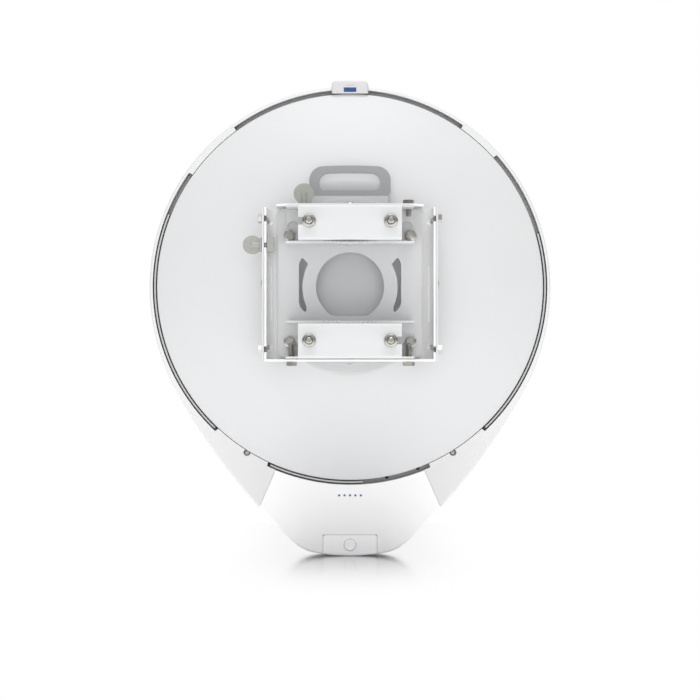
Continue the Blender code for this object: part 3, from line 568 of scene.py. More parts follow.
def settle(piece: Object) -> Object:
    """Apply a piece's modifiers and remove the hidden tools that they used."""
    cut = any(step.type == "BOOLEAN" for step in piece.modifiers)
    graph = bpy.context.evaluated_depsgraph_get()
    graph.update()
    mesh = bpy.data.meshes.new_from_object(piece.evaluated_get(graph), depsgraph=graph)
    tools = {step.object for step in piece.modifiers if getattr(step, "object", None)}
    piece.modifiers.clear()
    old, piece.data = piece.data, mesh
    bpy.data.meshes.remove(old)
    for tool in tools:
        bpy.data.objects.remove(tool)
    if cut:
        mesh.set_sharp_from_angle(angle=SHARP)
        level = piece.modifiers.new("level", "WEIGHTED_NORMAL")
        level.keep_sharp = True
        return settle(piece)
    return piece


def combine(target: Object, tool: Object, operation: str = "DIFFERENCE") -> None:
    """Boolean with a tool that is hidden until settle removes it."""
    tool.hide_render = True
    step = target.modifiers.new(tool.name, "BOOLEAN")
    step.operation = operation
    step.solver = "EXACT"
    step.object = tool


def soften(piece: Object, width: float, segments: int = 2, angle: float = SHARP) -> Object:
    """Round a piece's edges that are sharper than an angle with a bevel of width millimetres."""
    step = piece.modifiers.new("edges", "BEVEL")
    step.width = width * MM
    step.segments = segments
    step.limit_method = "ANGLE"
    step.angle_limit = angle
    step.harden_normals = True
    step.miter_outer = "MITER_ARC"
    return piece


@dataclass
class Workshop:
    """Makes, dresses and hands over the pieces."""

    frame: dict[str, Any]
    coats: dict[str, bpy.types.Material] = field(default_factory=dict)

    def coat(self, finish: Finish) -> bpy.types.Material:
        """The finish's material, made once."""
        if finish.name not in self.coats:
            self.coats[finish.name] = finish.build()
        return self.coats[finish.name]

    def copied(self, node: str, name: str) -> Object:
        """A clean copy of a CAD node: merged, and without the edges that cross its flat faces."""
        shape = bmesh.new()
        shape.from_mesh(self.frame["nodes"][node].data)
        bmesh.ops.remove_doubles(shape, verts=shape.verts, dist=2e-6)
        bmesh.ops.dissolve_limit(shape, angle_limit=math.radians(0.4), verts=shape.verts, edges=shape.edges)
        mesh = bpy.data.meshes.new(name)
        shape.to_mesh(mesh)
        shape.free()
        shade_mesh(mesh)
        return add_object(name, mesh)

    def refined(self, node: str, edge: float, segments: int = 2) -> Object:
        """A copy of a CAD node with its sharp edges rounded."""
        return settle(soften(self.copied(node, node + "_finished"), edge, segments))

    def hand_over(self, piece: Object, body: str, finish: Finish, nodes: Sequence[str]) -> Object:
        """Dress a piece and fix it to its body.

        Args:
            piece: the finished mesh.
            body: the body that it moves with.
            finish: what it is made of.
            nodes: CAD nodes that it stands for.

        Returns:
            The piece.
        """
        piece.data.materials.clear()
        piece.data.materials.append(self.coat(finish))
        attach(piece, body)
        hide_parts(*nodes)
        LOG.info("%s: %d faces, on %s", piece.name, len(piece.data.polygons), body)
        return piece

    def dress(self, node: str, body: str, finish: Finish, edge: float, segments: int = 2) -> None:
        """Hand over a CAD node's own shape, its sharp edges rounded."""
        self.hand_over(self.refined(node, edge, segments), body, finish, [node])


def lathe(name: str, profile: Sequence[Point2], axis: Axis, centre: Point2, cyclic: bool = False,
          steps: int = 96) -> Object:
    """Round part: profile holds (radius, place along the axis), from end to end."""
    loops = [[axis.point(centre[0] + u, centre[1] + v, w) for u, v in circle(0, 0, max(radius, 1e-4), steps)]
             for radius, w in profile]
    return loft(name, loops, cyclic)


# ------------------------------------------------------------------ geometry made by nodes

class Maker(Graph):
    """A Geometry Nodes tree with named inputs, whose result becomes a plain mesh."""

    def __init__(self, name: str, sizes: Sequence[str]) -> None:
        """Start a tree with one number input for each size, and a Finish input."""
        super().__init__(bpy.data.node_groups.new(name, "GeometryNodeTree"))
        face = self.tree.interface
        face.new_socket(name="Geometry", in_out="OUTPUT", socket_type="NodeSocketGeometry")
        face.new_socket(name="Geometry", in_out="INPUT", socket_type="NodeSocketGeometry")
        self.labels = {size: face.new_socket(name=size, in_out="INPUT", socket_type="NodeSocketFloat")
                       for size in sizes}
        self.labels["Finish"] = face.new_socket(name="Finish", in_out="INPUT",
                                                socket_type="NodeSocketMaterial")
        self.entry = self.node("NodeGroupInput")
        self.exit = self.tree.nodes.new("NodeGroupOutput")

    def size(self, name: str) -> Link:
        """One of the tree's own inputs."""
        return self.entry.out(name)

    def vector(self, x: Term, y: Term, z: Term) -> Link:
        """Vector of three numbers."""
        return self.node("ShaderNodeCombineXYZ", None, {"X": x, "Y": y, "Z": z})

    def close(self, shape: Link) -> None:
        """End the tree with plain geometry in its finish."""
        real = self.node("GeometryNodeRealizeInstances", None, {"Geometry": shape})
        dressed = self.node("GeometryNodeSetMaterial", None,
                            {"Geometry": real, "Material": self.size("Finish")})
        self.tree.links.new(dressed.socket, self.exit.inputs[0])

    def run(self, name: str, seed: bpy.types.Mesh, values: dict[str, Any]) -> Object:
        """Run the tree on a seed mesh.

        Args:
            name: the new object's name.
            seed: the mesh that the tree reads.
            values: the tree's inputs, by name.

        Returns:
            The object, its modifier applied.
        """
        made = add_object(name, seed)
        step = made.modifiers.new("maker", "NODES")
        step.node_group = self.tree
        for label, value in values.items():
            step[self.labels[label].identifier] = value
        settle(made)
        shape = bmesh.new()
        shape.from_mesh(made.data)
        bmesh.ops.recalc_face_normals(shape, faces=shape.faces)
        shape.to_mesh(made.data)
        shape.free()
        shade_mesh(made.data)
        return made


class Facing(Enum):
    """Way that a fastener's head looks."""

    REAR = (0, -1, 0)
    FRONT = (0, 1, 0)
    LEFT = (-1, 0, 0)
    RIGHT = (1, 0, 0)
    UP = (0, 0, 1)
    DOWN = (0, 0, -1)


class Head(Enum):
    """Kinds of fastener."""

    HEX_BOLT = "hex bolt"
    FLANGE_NUT = "flange nut"
    CARRIAGE_BOLT = "carriage bolt"
    RIVET = "rivet"
    CROSS_SCREW = "cross screw"


@dataclass(frozen=True)
class FastenerSize:
    """A fastener's sizes in millimetres; its origin is the outer end of its head."""

    flats: float = 5.0
    head: float = 4.0
    flange: float = 6.4
    skirt: float = 1.6
    shank: float = 2.95
    length: float = 10.0
    pitch: float = 1.0


class FastenerMaker(Maker):
    """Puts one kind of fastener on every point of its input, turned as the point's attribute says."""

    LABELS = {"Flats": "flats", "Head": "head", "Flange": "flange", "Skirt": "skirt", "Shank": "shank",
              "Length": "length", "Pitch": "pitch"}
    TURNED = "turned"
    SIDES = 40
    CREST = 6                  # rows of points in a thread's pitch

    def __init__(self, kind: Head) -> None:
        """Build the tree for one kind."""
        super().__init__("fastener " + kind.value, list(self.LABELS))
        flats, head, shank = self.size("Flats"), self.size("Head"), self.size("Shank")
        bottom = head * -1
        if kind is Head.HEX_BOLT:
            solids = [self.hexagon(flats, bottom), self.thread(shank, bottom)]
        elif kind is Head.FLANGE_NUT:
            rim = self.size("Flange")
            low = bottom + self.size("Skirt")
            cone = self.frustum(rim - 0.1, flats, bottom + 0.5, low, self.SIDES)
            foot = self.frustum(rim, rim, bottom, bottom + 0.5, self.SIDES)
            body = self.solid("UNION", self.hexagon(flats, bottom + 0.2), cone, foot)
            solids = [self.bored(body, shank, bottom)]
        elif kind is Head.CARRIAGE_BOLT:
            neck = self.frustum(shank * 1.41, shank * 1.41, bottom - 2.6, bottom + 0.2, 4)
            turn = self.node("GeometryNodeTransform", None, {
                "Geometry": neck, "Rotation": (0.0, 0.0, math.pi / 4)})
            solids = [self.dome(flats, head), turn, self.thread(shank, bottom)]
        elif kind is Head.RIVET:
            pin = self.frustum(shank, shank, self.size("Length") * -1, bottom, self.SIDES)
            solids = [self.dome(flats, head), pin]
        else:
            arms = [self.node("GeometryNodeMeshCube", None, {"Size": self.vector(*size)})
                    for size in ((flats * 1.2, 0.75, head * 1.3), (0.75, flats * 1.2, head * 1.3))]
            solids = [self.solid("DIFFERENCE", self.dome(flats, head), *arms), self.thread(shank, bottom)]
        whole = self.node("GeometryNodeJoinGeometry", None, {"Geometry": solids})
        turned = self.node("GeometryNodeInputNamedAttribute", {"data_type": "FLOAT_VECTOR"},
                           {"Name": self.TURNED})
        self.close(self.node("GeometryNodeInstanceOnPoints", None, {
            "Points": self.size("Geometry"), "Instance": whole, "Scale": (MM, MM, MM),
            "Rotation": self.node("FunctionNodeEulerToRotation", None, {"Euler": turned})}, "Instances"))

    def frustum(self, low_radius: Term, high_radius: Term, low: Term, high: Term, sides: int) -> Link:
        """Straight or tapering round or many-sided solid from low to high."""
        cone = self.node("GeometryNodeMeshCone", None, {
            "Vertices": sides, "Radius Bottom": low_radius, "Radius Top": high_radius,
            "Depth": self.maths("SUBTRACT", high, low)}, "Mesh")
        return self.node("GeometryNodeTransform", None, {
            "Geometry": cone, "Translation": self.vector(0.0, 0.0, low)})

    def solid(self, operation: str, first: Link, *rest: Link) -> Link:
        """Boolean of solids."""
        sockets: dict[str | int, Any] = {"Mesh 2": list(rest)}
        if operation == "DIFFERENCE":
            sockets["Mesh 1"] = first
        else:
            sockets["Mesh 2"] = [first, *rest]
        return self.node("GeometryNodeMeshBoolean", {"operation": operation, "solver": "EXACT"}, sockets,
                         "Mesh")

    def hexagon(self, flats: Link, low: Term) -> Link:
        """Hexagon from low to the origin, its outer corners chamfered."""
        corner = flats * (1 / math.cos(math.pi / 6))
        block = self.frustum(corner, corner, low, 0.0, 6)
        height = self.maths("SUBTRACT", 0.0, low)
        chamfer = self.frustum(flats * 0.93 + height * 1.9, flats * 0.93, low, 0.0, self.SIDES)
        return self.solid("INTERSECT", block, chamfer)

    def bored(self, body: Link, shank: Link, low: Term) -> Link:
        """Body with a hole for a shank, countersunk at its outer end."""
        bore = self.frustum(shank + 0.35, shank + 0.35, self.maths("SUBTRACT", low, 1.0), 1.0, self.SIDES)
        mouth = self.frustum(shank + 0.3, shank + 1.1, -0.5, 0.3, self.SIDES)
        return self.solid("DIFFERENCE", body, bore, mouth)

    def dome(self, radius: Link, height: Link) -> Link:
        """Low domed head, flat below."""
        ball = self.node("GeometryNodeMeshUVSphere", None, {
            "Segments": self.SIDES, "Rings": 20, "Radius": 1.0}, "Mesh")
        rounded = self.node("GeometryNodeTransform", None, {
            "Geometry": ball, "Scale": self.vector(radius, radius, height * 1.02),
            "Translation": self.vector(0.0, 0.0, height * -1.02)})
        keep = self.frustum(radius * 1.2, radius * 1.2, height * -1, 1.0, 8)
        return self.solid("INTERSECT", rounded, keep)

    def thread(self, radius: Link, top: Term) -> Link:
        """Threaded shank from top down to the length, its end chamfered and closed."""
        pitch, bottom = self.size("Pitch"), self.size("Length") * -1
        top = top + 0.3
        rows = self.maths("FLOOR", (top - bottom) / pitch * self.CREST) + 3
        grid = self.node("GeometryNodeMeshGrid", None, {
            "Size X": 1.0, "Size Y": 1.0, "Vertices X": 25, "Vertices Y": rows}, "Mesh")
        place = self.node("ShaderNodeSeparateXYZ", None, {"Vector": self.node("GeometryNodeInputPosition")})
        around = place.out("X") + 0.5
        row = (place.out("Y") + 0.5) * (rows - 1)
        share = self.maths("MINIMUM", self.maths("MAXIMUM", (row - 1) / (rows - 3), 0.0), 1.0)
        height = bottom + share * (top - bottom)
        ridge = self.maths("PINGPONG", height / pitch - around, 0.5)
        full = radius - ridge * pitch * 1.1
        limit = radius - 0.9 + (height - bottom)
        inside = self.maths("GREATER_THAN", row, 0.5) * self.maths("LESS_THAN", row, rows - 1.5)
        reach = self.maths("MINIMUM", full, limit) * inside
        angle = around * math.tau
        moved = self.node("GeometryNodeSetPosition", None, {
            "Geometry": grid,
            "Position": self.vector(reach * self.maths("COSINE", angle), reach * self.maths("SINE", angle),
                                    height)})
        return self.node("GeometryNodeMergeByDistance", None, {"Geometry": moved, "Distance": 0.01})

    def place(self, name: str, size: FastenerSize, nodes: Sequence[str], facing: Facing,
              finish: bpy.types.Material) -> Object:
        """Make one fastener where each CAD node has its head.

        Args:
            name: the piece's name.
            size: the fastener's sizes.
            nodes: the CAD nodes that it replaces.
            facing: the way the heads look.
            finish: their material.

        Returns:
            One piece with all of them.
        """
        way = Vector(facing.value)
        seed = bpy.data.meshes.new(name)
        points, turns = [], []
        for number, node in enumerate(nodes):
            low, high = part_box(node)
            middle = (low + high) / 2
            reach = (high - low) / 2
            points.append(middle + Vector(w * r for w, r in zip(way, reach)))
            spin = Matrix.Rotation(math.radians(17 + 41 * number), 3, "Z")
            turns += (way.to_track_quat("Z", "Y").to_matrix() @ spin).to_euler()
        seed.from_pydata(points, [], [])
        seed.attributes.new(self.TURNED, "FLOAT_VECTOR", "POINT").data.foreach_set("vector", turns)
        values = {label: getattr(size, attribute) for label, attribute in self.LABELS.items()}
        return self.run(name, seed, {**values, "Finish": finish})


class ReflectorMaker(Maker):
    """Paraboloid sheet round a hub hole, with a straight skirt at its rim."""

    RINGS, SKIRT_RINGS, STEPS = 48, 6, 240

    def __init__(self) -> None:
        """Build the tree."""
        super().__init__("spun reflector", ["Radius", "Focal", "Hole", "Rim", "Skirt"])
        radius, hole = self.size("Radius"), self.size("Hole")
        rows = self.RINGS + self.SKIRT_RINGS
        grid = self.node("GeometryNodeMeshGrid", None, {
            "Size X": 1.0, "Size Y": 1.0, "Vertices X": self.STEPS + 1, "Vertices Y": rows + 1}, "Mesh")
        place = self.node("ShaderNodeSeparateXYZ", None, {"Vector": self.node("GeometryNodeInputPosition")})
        row = (place.out("Y") + 0.5) * rows
        on_bowl = self.maths("MINIMUM", row / self.RINGS, 1.0)
        on_skirt = self.maths("MAXIMUM", row - self.RINGS, 0.0) / self.SKIRT_RINGS
        reach = hole + on_bowl * (radius - hole)
        sag = (radius * radius - reach * reach) / (self.size("Focal") * 4)
        depth = self.size("Rim") - sag + on_skirt * (self.size("Skirt") - self.size("Rim"))
        angle = place.out("X") * math.tau
        moved = self.node("GeometryNodeSetPosition", None, {
            "Geometry": grid,
            "Position": self.vector(reach * self.maths("COSINE", angle), depth,
                                    reach * self.maths("SINE", angle))})
        joined = self.node("GeometryNodeMergeByDistance", None, {"Geometry": moved, "Distance": 0.01})
        self.close(self.node("GeometryNodeTransform", None, {"Geometry": joined, "Scale": (MM, MM, MM)}))


# ------------------------------------------------------------------ sub-assemblies

SIDES = ("left", "right")
LEVELS = ("upper", "lower")
RIM = 158.0                # place along Y of the dish's lip and the housing's back
SKIRT = 171.5              # place along Y of the front of the dish's skirt
RIM_SCREW = (103.0, -165.4)
BELOW = -300.0             # a height below the whole bridge, where cutting tools end


def four(stem: str) -> list[str]:
    """Names of the four copies of a fastener."""
    return [f"{stem}_{level}_{side}" for level in LEVELS for side in SIDES]


@dataclass
class PoleClamp:
    """Two toothed jaws on a mount plate, and two loose ones drawn up by long carriage bolts."""

    shop: Workshop
    bolt: FastenerSize = FastenerSize(flats=7.4, head=3.2)
    nut: FastenerSize = FastenerSize(head=6.0, flange=6.4, skirt=2.0)
    corner: FastenerSize = FastenerSize(head=4.0)
    edge: float = 0.4
    window: tuple[float, float, float] = (32.7, -2.0, -30.4)
    slot_centre: float = -2.6
    slot: tuple[float, float, float, float] = (49.0, 45.6, 25.6, -26.5)
    columns: Point2 = (37.5, 58.0)
    rows: Point2 = (55.6, -54.2)
    corner_rows: Point2 = (46.3, -55.3)

    def build(self) -> None:
        """Make and dress everything that stays on the pole."""
        for level in LEVELS:
            self.shop.dress(f"inner_jaw_{level}", "pole_clamp", BRACKET_PAINT, self.edge)
            self.shop.dress(f"outer_jaw_{level}", f"outer_clamp_{level}", BRACKET_PAINT, self.edge)
        self.plate()
        self.fasten()

    def plate(self) -> None:
        """Mount plate with a D-shaped window, two crescent slots and its bolt holes."""
        low, high = span("mount_plate")
        corners = [(u, v, 7.0) for u, v in rectangle(low.x, low.z, high.x, high.z)]
        plate = prism("mount_plate_pressed", eased(corners, 12), Axis.Y, low.y, high.y)
        radius, middle, flat = self.window
        drop = math.degrees(math.asin((flat - middle) / radius))
        holes = [arc(0, middle, radius, drop, 180 - drop, 120)]
        edge, reach, top, bottom = self.slot
        ends = [math.degrees(math.asin((z - self.slot_centre) / reach)) for z in (top - 6.3, bottom + 5.4)]
        inner = arc(0, self.slot_centre, reach, ends[0], ends[1], 30)
        for turn in (-1, 1):
            slot = eased([(edge, bottom + 8.0), (edge, top - 6.0, 4.0), (edge - 2.6, top - 0.2, 1.6),
                          (edge - 4.4, top - 1.0, 1.0), *inner, (edge - 7.2, bottom + 0.6, 1.2),
                          (edge - 5.4, bottom - 0.2, 0.8), (edge - 1.6, bottom + 4.4, 3.0)], 6)
            holes.append([(turn * x, z) for x, z in slot])
            for z in self.rows:
                holes.append(circle(turn * self.columns[0], z, 8.0, 48))
            for z in self.corner_rows:
                holes.append(circle(turn * self.columns[1], z, 3.3, 32))
        for hole in holes:
            combine(plate, prism("plate_hole", hole, Axis.Y, low.y - 4, high.y + 4))
        # The plate's coat is darker than the bracket's: painted shade.
        self.shop.hand_over(settle(soften(plate, 0.75, 3, BLUNT)), "pole_clamp", PLATE_PAINT_WITH_PAINTED_SHADE, ["mount_plate"])

    def fasten(self) -> None:
        """Put in the bolts, nuts and corner screws."""
        steel = self.shop.coat(BOLT_STEEL)
        low, high = span("clamp_bolt_upper_left")
        long_bolt = replace(self.bolt, length=high.y - low.y)
        bolts = FastenerMaker(Head.CARRIAGE_BOLT).place("clamp_bolts", long_bolt, four("clamp_bolt"),
                                                        Facing.FRONT, steel)
        self.shop.hand_over(bolts, "pole_clamp", BOLT_STEEL, four("clamp_bolt"))
        nut_maker = FastenerMaker(Head.FLANGE_NUT)
        for level in LEVELS:
            nodes = [f"flange_nut_{level}_{side}" for side in SIDES]
            nuts = nut_maker.place(f"flange_nuts_{level}", self.nut, nodes, Facing.REAR, steel)
            self.shop.hand_over(nuts, f"outer_clamp_{level}", BOLT_STEEL, nodes)
        low, high = span("corner_screw_upper_left")
        screw = replace(self.corner, length=high.y - low.y)
        nodes = four("corner_screw")
        screws = FastenerMaker(Head.HEX_BOLT).place("corner_screws", screw, nodes, Facing.REAR, steel)
        self.shop.hand_over(screws, "pole_clamp", BOLT_STEEL, nodes)


@dataclass
class Bracket:
    """Pan that turns in azimuth, and yoke that tilts the dish in elevation."""

    shop: Workshop
    edge: float = 0.35
    coin_thickness: float = 3.0
    azimuth_bolt: FastenerSize = FastenerSize(head=4.0, length=16.0)
    long_azimuth_bolt: FastenerSize = FastenerSize(head=4.0, length=21.0)
    elevation_bolt: FastenerSize = FastenerSize(flats=4.0, head=3.5, shank=2.45, length=8.0, pitch=0.8)
    yoke_screw: FastenerSize = FastenerSize(flats=3.8, head=2.0, shank=1.9, length=7.7, pitch=0.7)

    def build(self) -> None:
        """Make and dress the bracket."""
        # The pan's coat is lighter than the bracket's: painted light.
        self.shop.dress("gimbal_pan", "azimuth_frame", FRAME_PAINT_WITH_PAINTED_LIGHT, self.edge)
        self.shop.dress("hub_yoke", "dish_head", BRACKET_PAINT, self.edge)
        self.shop.dress("elevation_nut_block", "dish_head", COIN_STEEL, self.edge)
        self.fasten()
        self.thumbscrew("azimuth_thumbscrew", "azimuth_knob", Axis.Z, 1, 5.4)
        self.thumbscrew("elevation_thumbscrew", "elevation_knob", Axis.X, -1, 7.0)

    def fasten(self) -> None:
        """Put in the lock bolts, pivots and yoke screws."""
        steel = self.shop.coat(BOLT_STEEL)
        bolt_maker = FastenerMaker(Head.HEX_BOLT)
        rivet_maker, screw_maker = FastenerMaker(Head.RIVET), FastenerMaker(Head.CROSS_SCREW)
        bottoms = [f"azimuth_bolt_bottom_{side}" for side in SIDES]
        pivot = FastenerSize(flats=4.2, head=2.2, length=9.7)
        side_pivot = FastenerSize(flats=4.2, head=1.0, length=5.5)
        rows = [
            (bolt_maker, "azimuth_bolt_upper", self.azimuth_bolt, ["azimuth_bolt_top_right"], Facing.UP,
             "pole_clamp"),
            (bolt_maker, "azimuth_bolts_lower", self.long_azimuth_bolt, bottoms, Facing.DOWN, "pole_clamp"),
            (rivet_maker, "azimuth_pivot_upper", pivot, ["azimuth_pivot_top"], Facing.UP, "pole_clamp"),
            (rivet_maker, "azimuth_pivot_lower", pivot, ["azimuth_pivot_bottom"], Facing.DOWN, "pole_clamp"),
            (screw_maker, "yoke_screws", self.yoke_screw, four("yoke_screw"), Facing.REAR, "dish_head"),
        ]
        for side, facing in zip(SIDES, (Facing.LEFT, Facing.RIGHT)):
            bolts = [f"elevation_bolt_{level}_{side}" for level in LEVELS]
            rows.append((bolt_maker, f"elevation_bolts_{side}", self.elevation_bolt, bolts, facing,
                         "dish_head"))
            rows.append((rivet_maker, f"elevation_pivot_cap_{side}", side_pivot, [f"elevation_pivot_{side}"],
                         facing, "azimuth_frame"))
        for maker, name, size, nodes, facing, body in rows:
            self.shop.hand_over(maker.place(name, size, nodes, facing, steel), body, BOLT_STEEL, nodes)

    def thumbscrew(self, node: str, body: str, axis: Axis, way: int, washer: float) -> None:
        """Thumbscrew with an upright coin for a head, a collar and a threaded shank."""
        low, high = span(node)
        middle = (low + high) / 2
        pick = {Axis.Z: lambda v: (v.x, v.y, v.z), Axis.X: lambda v: (v.y, v.z, v.x)}[axis]
        u, v, _ = pick(middle)
        ends = sorted((pick(low)[2], pick(high)[2]), key=lambda w: way * w)
        coin = (pick(high)[1] - pick(low)[1]) / 2 if axis is Axis.X else (high.x - low.x) / 2
        hub = ends[1] - way * coin
        seat = hub - way * (coin + 0.1)
        profile = [(2.1, ends[0]), (2.9, ends[0] + way), (2.9, seat), (washer - 0.3, seat),
                   (washer, seat + way * 0.3), (washer, seat + way * 1.1), (washer - 0.3, seat + way * 1.4),
                   (3.2, seat + way * 1.4), (3.2, hub)]
        stem = lathe(node + "_turned", profile, axis, (u, v), steps=48)
        half = self.coin_thickness / 2
        rim = [(coin - 0.8, -half), (coin - 0.25, -half + 0.2), (coin, -half + 0.6), (coin, half - 0.6),
               (coin - 0.25, half - 0.2), (coin - 0.8, half)]
        depth = v if axis is Axis.Z else u
        centre = (u, hub) if axis is Axis.Z else (hub, v)
        disc = lathe(node + "_coin", [(r, depth + w) for r, w in rim], Axis.Y, centre)
        combine(stem, disc, "UNION")
        self.shop.hand_over(settle(stem), body, COIN_STEEL, [node])


@dataclass
class Hub:
    """Plastic hub behind the reflector, with the carry handle at its top."""

    shop: Workshop
    step_radius: float = 77.8
    step: float = 0.8
    cup_radius: float = 59.5
    cup_wall: float = 3.0
    screw_places: float = 34.0
    neck: float = 37.2
    tongue: float = 86.9
    handle_half: float = 39.6
    handle_step: float = 89.6
    handle_middle: float = 100.0
    handle_crown: float = 1.6
    grip: tuple[float, float, float] = (29.7, 92.4, 109.5)

    def build(self, reflector: Reflector) -> None:
        """Make and dress the hub and its handle."""
        self.housing(reflector)
        self.handle()

    def housing(self, reflector: Reflector) -> None:
        """Dished hub: a stepped disc whose front follows the reflector, and a cup inside it."""
        low, high = span("hub_housing")
        drop, radius, back = (low.z + high.z) / 2, (high.x - low.x) / 2, low.y
        steps = (radius, 82.0, 77.0, 72.0, 66.0, self.cup_radius + 1.0)
        under = [(r, reflector.back(r) - 1.0) for r in steps]
        floor = back + 3.5
        profile = [(self.step_radius - 0.5, back), (self.step_radius, back + 0.25),
                   (self.step_radius, back + self.step), (radius - 1.8, back + self.step),
                   (radius - 0.7, back + self.step + 0.3), (radius, back + self.step + 1.2),
                   *under, (self.cup_radius, under[-1][1]), (self.cup_radius, high.y),
                   (self.cup_radius - self.cup_wall, high.y), (self.cup_radius - self.cup_wall, floor)]
        hub = lathe("hub_housing_moulded", profile, Axis.Y, (0.0, drop), steps=160)
        grip = self.handle_half + 0.3
        tongue = eased([(-self.neck, 70.0), (self.neck, 70.0), (self.neck, self.tongue, 1.0),
                        (-self.neck, self.tongue, 1.0)])
        combine(hub, prism("hub_tongue", tongue, Axis.Y, back + 1.2, floor), "UNION")
        combine(hub, prism("handle_seat", rectangle(-grip, 79.2, grip, 100.0), Axis.Y, floor, 120.0))
        place = self.screw_places
        for x in (-place, place):
            for z in (-place, place):
                combine(hub, prism("screw_bore", circle(x, z, 2.3, 24), Axis.Y, back - 4, back + 8))
        self.shop.hand_over(settle(hub), "dish_head", HUB_PLASTIC, ["hub_housing"])

    def handle(self) -> None:
        """Flat handle with a crowned top, a long grip hole and soft edges."""
        low, high = span("carry_handle")
        half, top, bottom = self.handle_half, high.z, low.z
        outline = eased([(-self.neck, bottom), (self.neck, bottom), (self.neck, self.handle_step, 0.8),
                         (half, self.handle_step + 1.6, 1.0), (half, top, 14.0), (-half, top, 14.0),
                         (-half, self.handle_step + 1.6, 1.0), (-self.neck, self.handle_step, 0.8)], 16)
        handle = prism("carry_handle_moulded", self.crowned(outline, half), Axis.Y, low.y, high.y)
        wide, hole_low, hole_top = self.grip
        hole = eased([(-wide, hole_low, 4.5), (wide, hole_low, 4.5), (wide, hole_top, 9.0),
                      (-wide, hole_top, 9.0)], 12)
        combine(handle, prism("grip_hole", self.crowned(hole, half), Axis.Y, low.y - 5, high.y + 5))
        soften(handle, 1.5, 4, BLUNT)
        self.shop.hand_over(settle(handle), "dish_head", HANDLE_PLASTIC, ["carry_handle"])

    def crowned(self, outline: Sequence[Point2], half: float) -> list[Point2]:
        """The outline with its upper part drawn down towards both sides."""
        points: list[Point2] = []
        for (x0, z0), (x1, z1) in zip(outline, [*outline[1:], outline[0]]):
            steps = 12 if abs(x1 - x0) > 20 else 1
            points += [(x0 + (x1 - x0) * k / steps, z0 + (z1 - z0) * k / steps) for k in range(steps)]
        return [(x, z - (self.handle_crown * (x / half) ** 2 if z > self.handle_middle else 0.0))
                for x, z in points]


@dataclass
class Reflector:
    """Spun dish, with the feed and sub-reflector in front of it."""

    shop: Workshop
    radius: float = 192.9
    focal: float = 142.0
    hole: float = 62.0
    sheet: float = 1.8
    notch: float = 4.2
    notch_back: float = 160.1

    def back(self, radius: float) -> float:
        """Place along Y of the dish's rear surface at a radius."""
        return RIM - (self.radius ** 2 - radius ** 2) / (4 * self.focal)

    def build(self) -> None:
        """Make and dress the dish and what stands in it."""
        seed = bpy.data.meshes.new("dish_reflector_spun")
        dish = ReflectorMaker().run("dish_reflector_spun", seed, {
            "Radius": self.radius, "Focal": self.focal, "Hole": self.hole, "Rim": RIM, "Skirt": SKIRT,
            "Finish": self.shop.coat(DISH_PAINT)})
        wall = dish.modifiers.new("sheet", "SOLIDIFY")
        wall.thickness = self.sheet * MM
        wall.offset = -1.0
        soften(settle(dish), 0.7, 3, math.radians(40))
        for turn in (-1, 1):
            notch = circle(turn * RIM_SCREW[0], RIM_SCREW[1], self.notch, 40)
            combine(dish, prism("screw_notch", notch, Axis.Y, self.notch_back, SKIRT + 5))
        self.shop.hand_over(settle(dish), "dish_head", DISH_PAINT, ["dish_reflector"])
        self.feed()

    def feed(self) -> None:
        """Feed horn and sub-reflector on the dish's axis."""
        low, high = span("feed_horn")
        drop = (low.z + high.z) / 2
        outline = eased([(55.5, 116.0), (55.5, 118.0), (16.0, 121.0), (10.0, 126.0, 4.0), (9.0, 172.0, 8.0),
                         (14.0, 190.0), (12.0, 190.0), (6.0, 172.0, 6.0), (6.0, 116.0)], 5)
        horn = lathe("feed_horn_turned", outline, Axis.Y, (0.0, drop), cyclic=True, steps=64)
        self.shop.hand_over(horn, "dish_head", BARE_METAL, ["feed_horn"])
        outline = eased([(14.0, 190.4), (30.0, 202.0, 1.0), (30.0, 204.0, 0.8), (4.0, 201.0)], 5, False)
        plate = lathe("subreflector_turned", outline, Axis.Y, (0.0, drop), steps=64)
        self.shop.hand_over(plate, "dish_head", BARE_METAL, ["subreflector"])
        self.shop.dress("radio_board", "dish_head", BOARD_GREEN, 0.2)


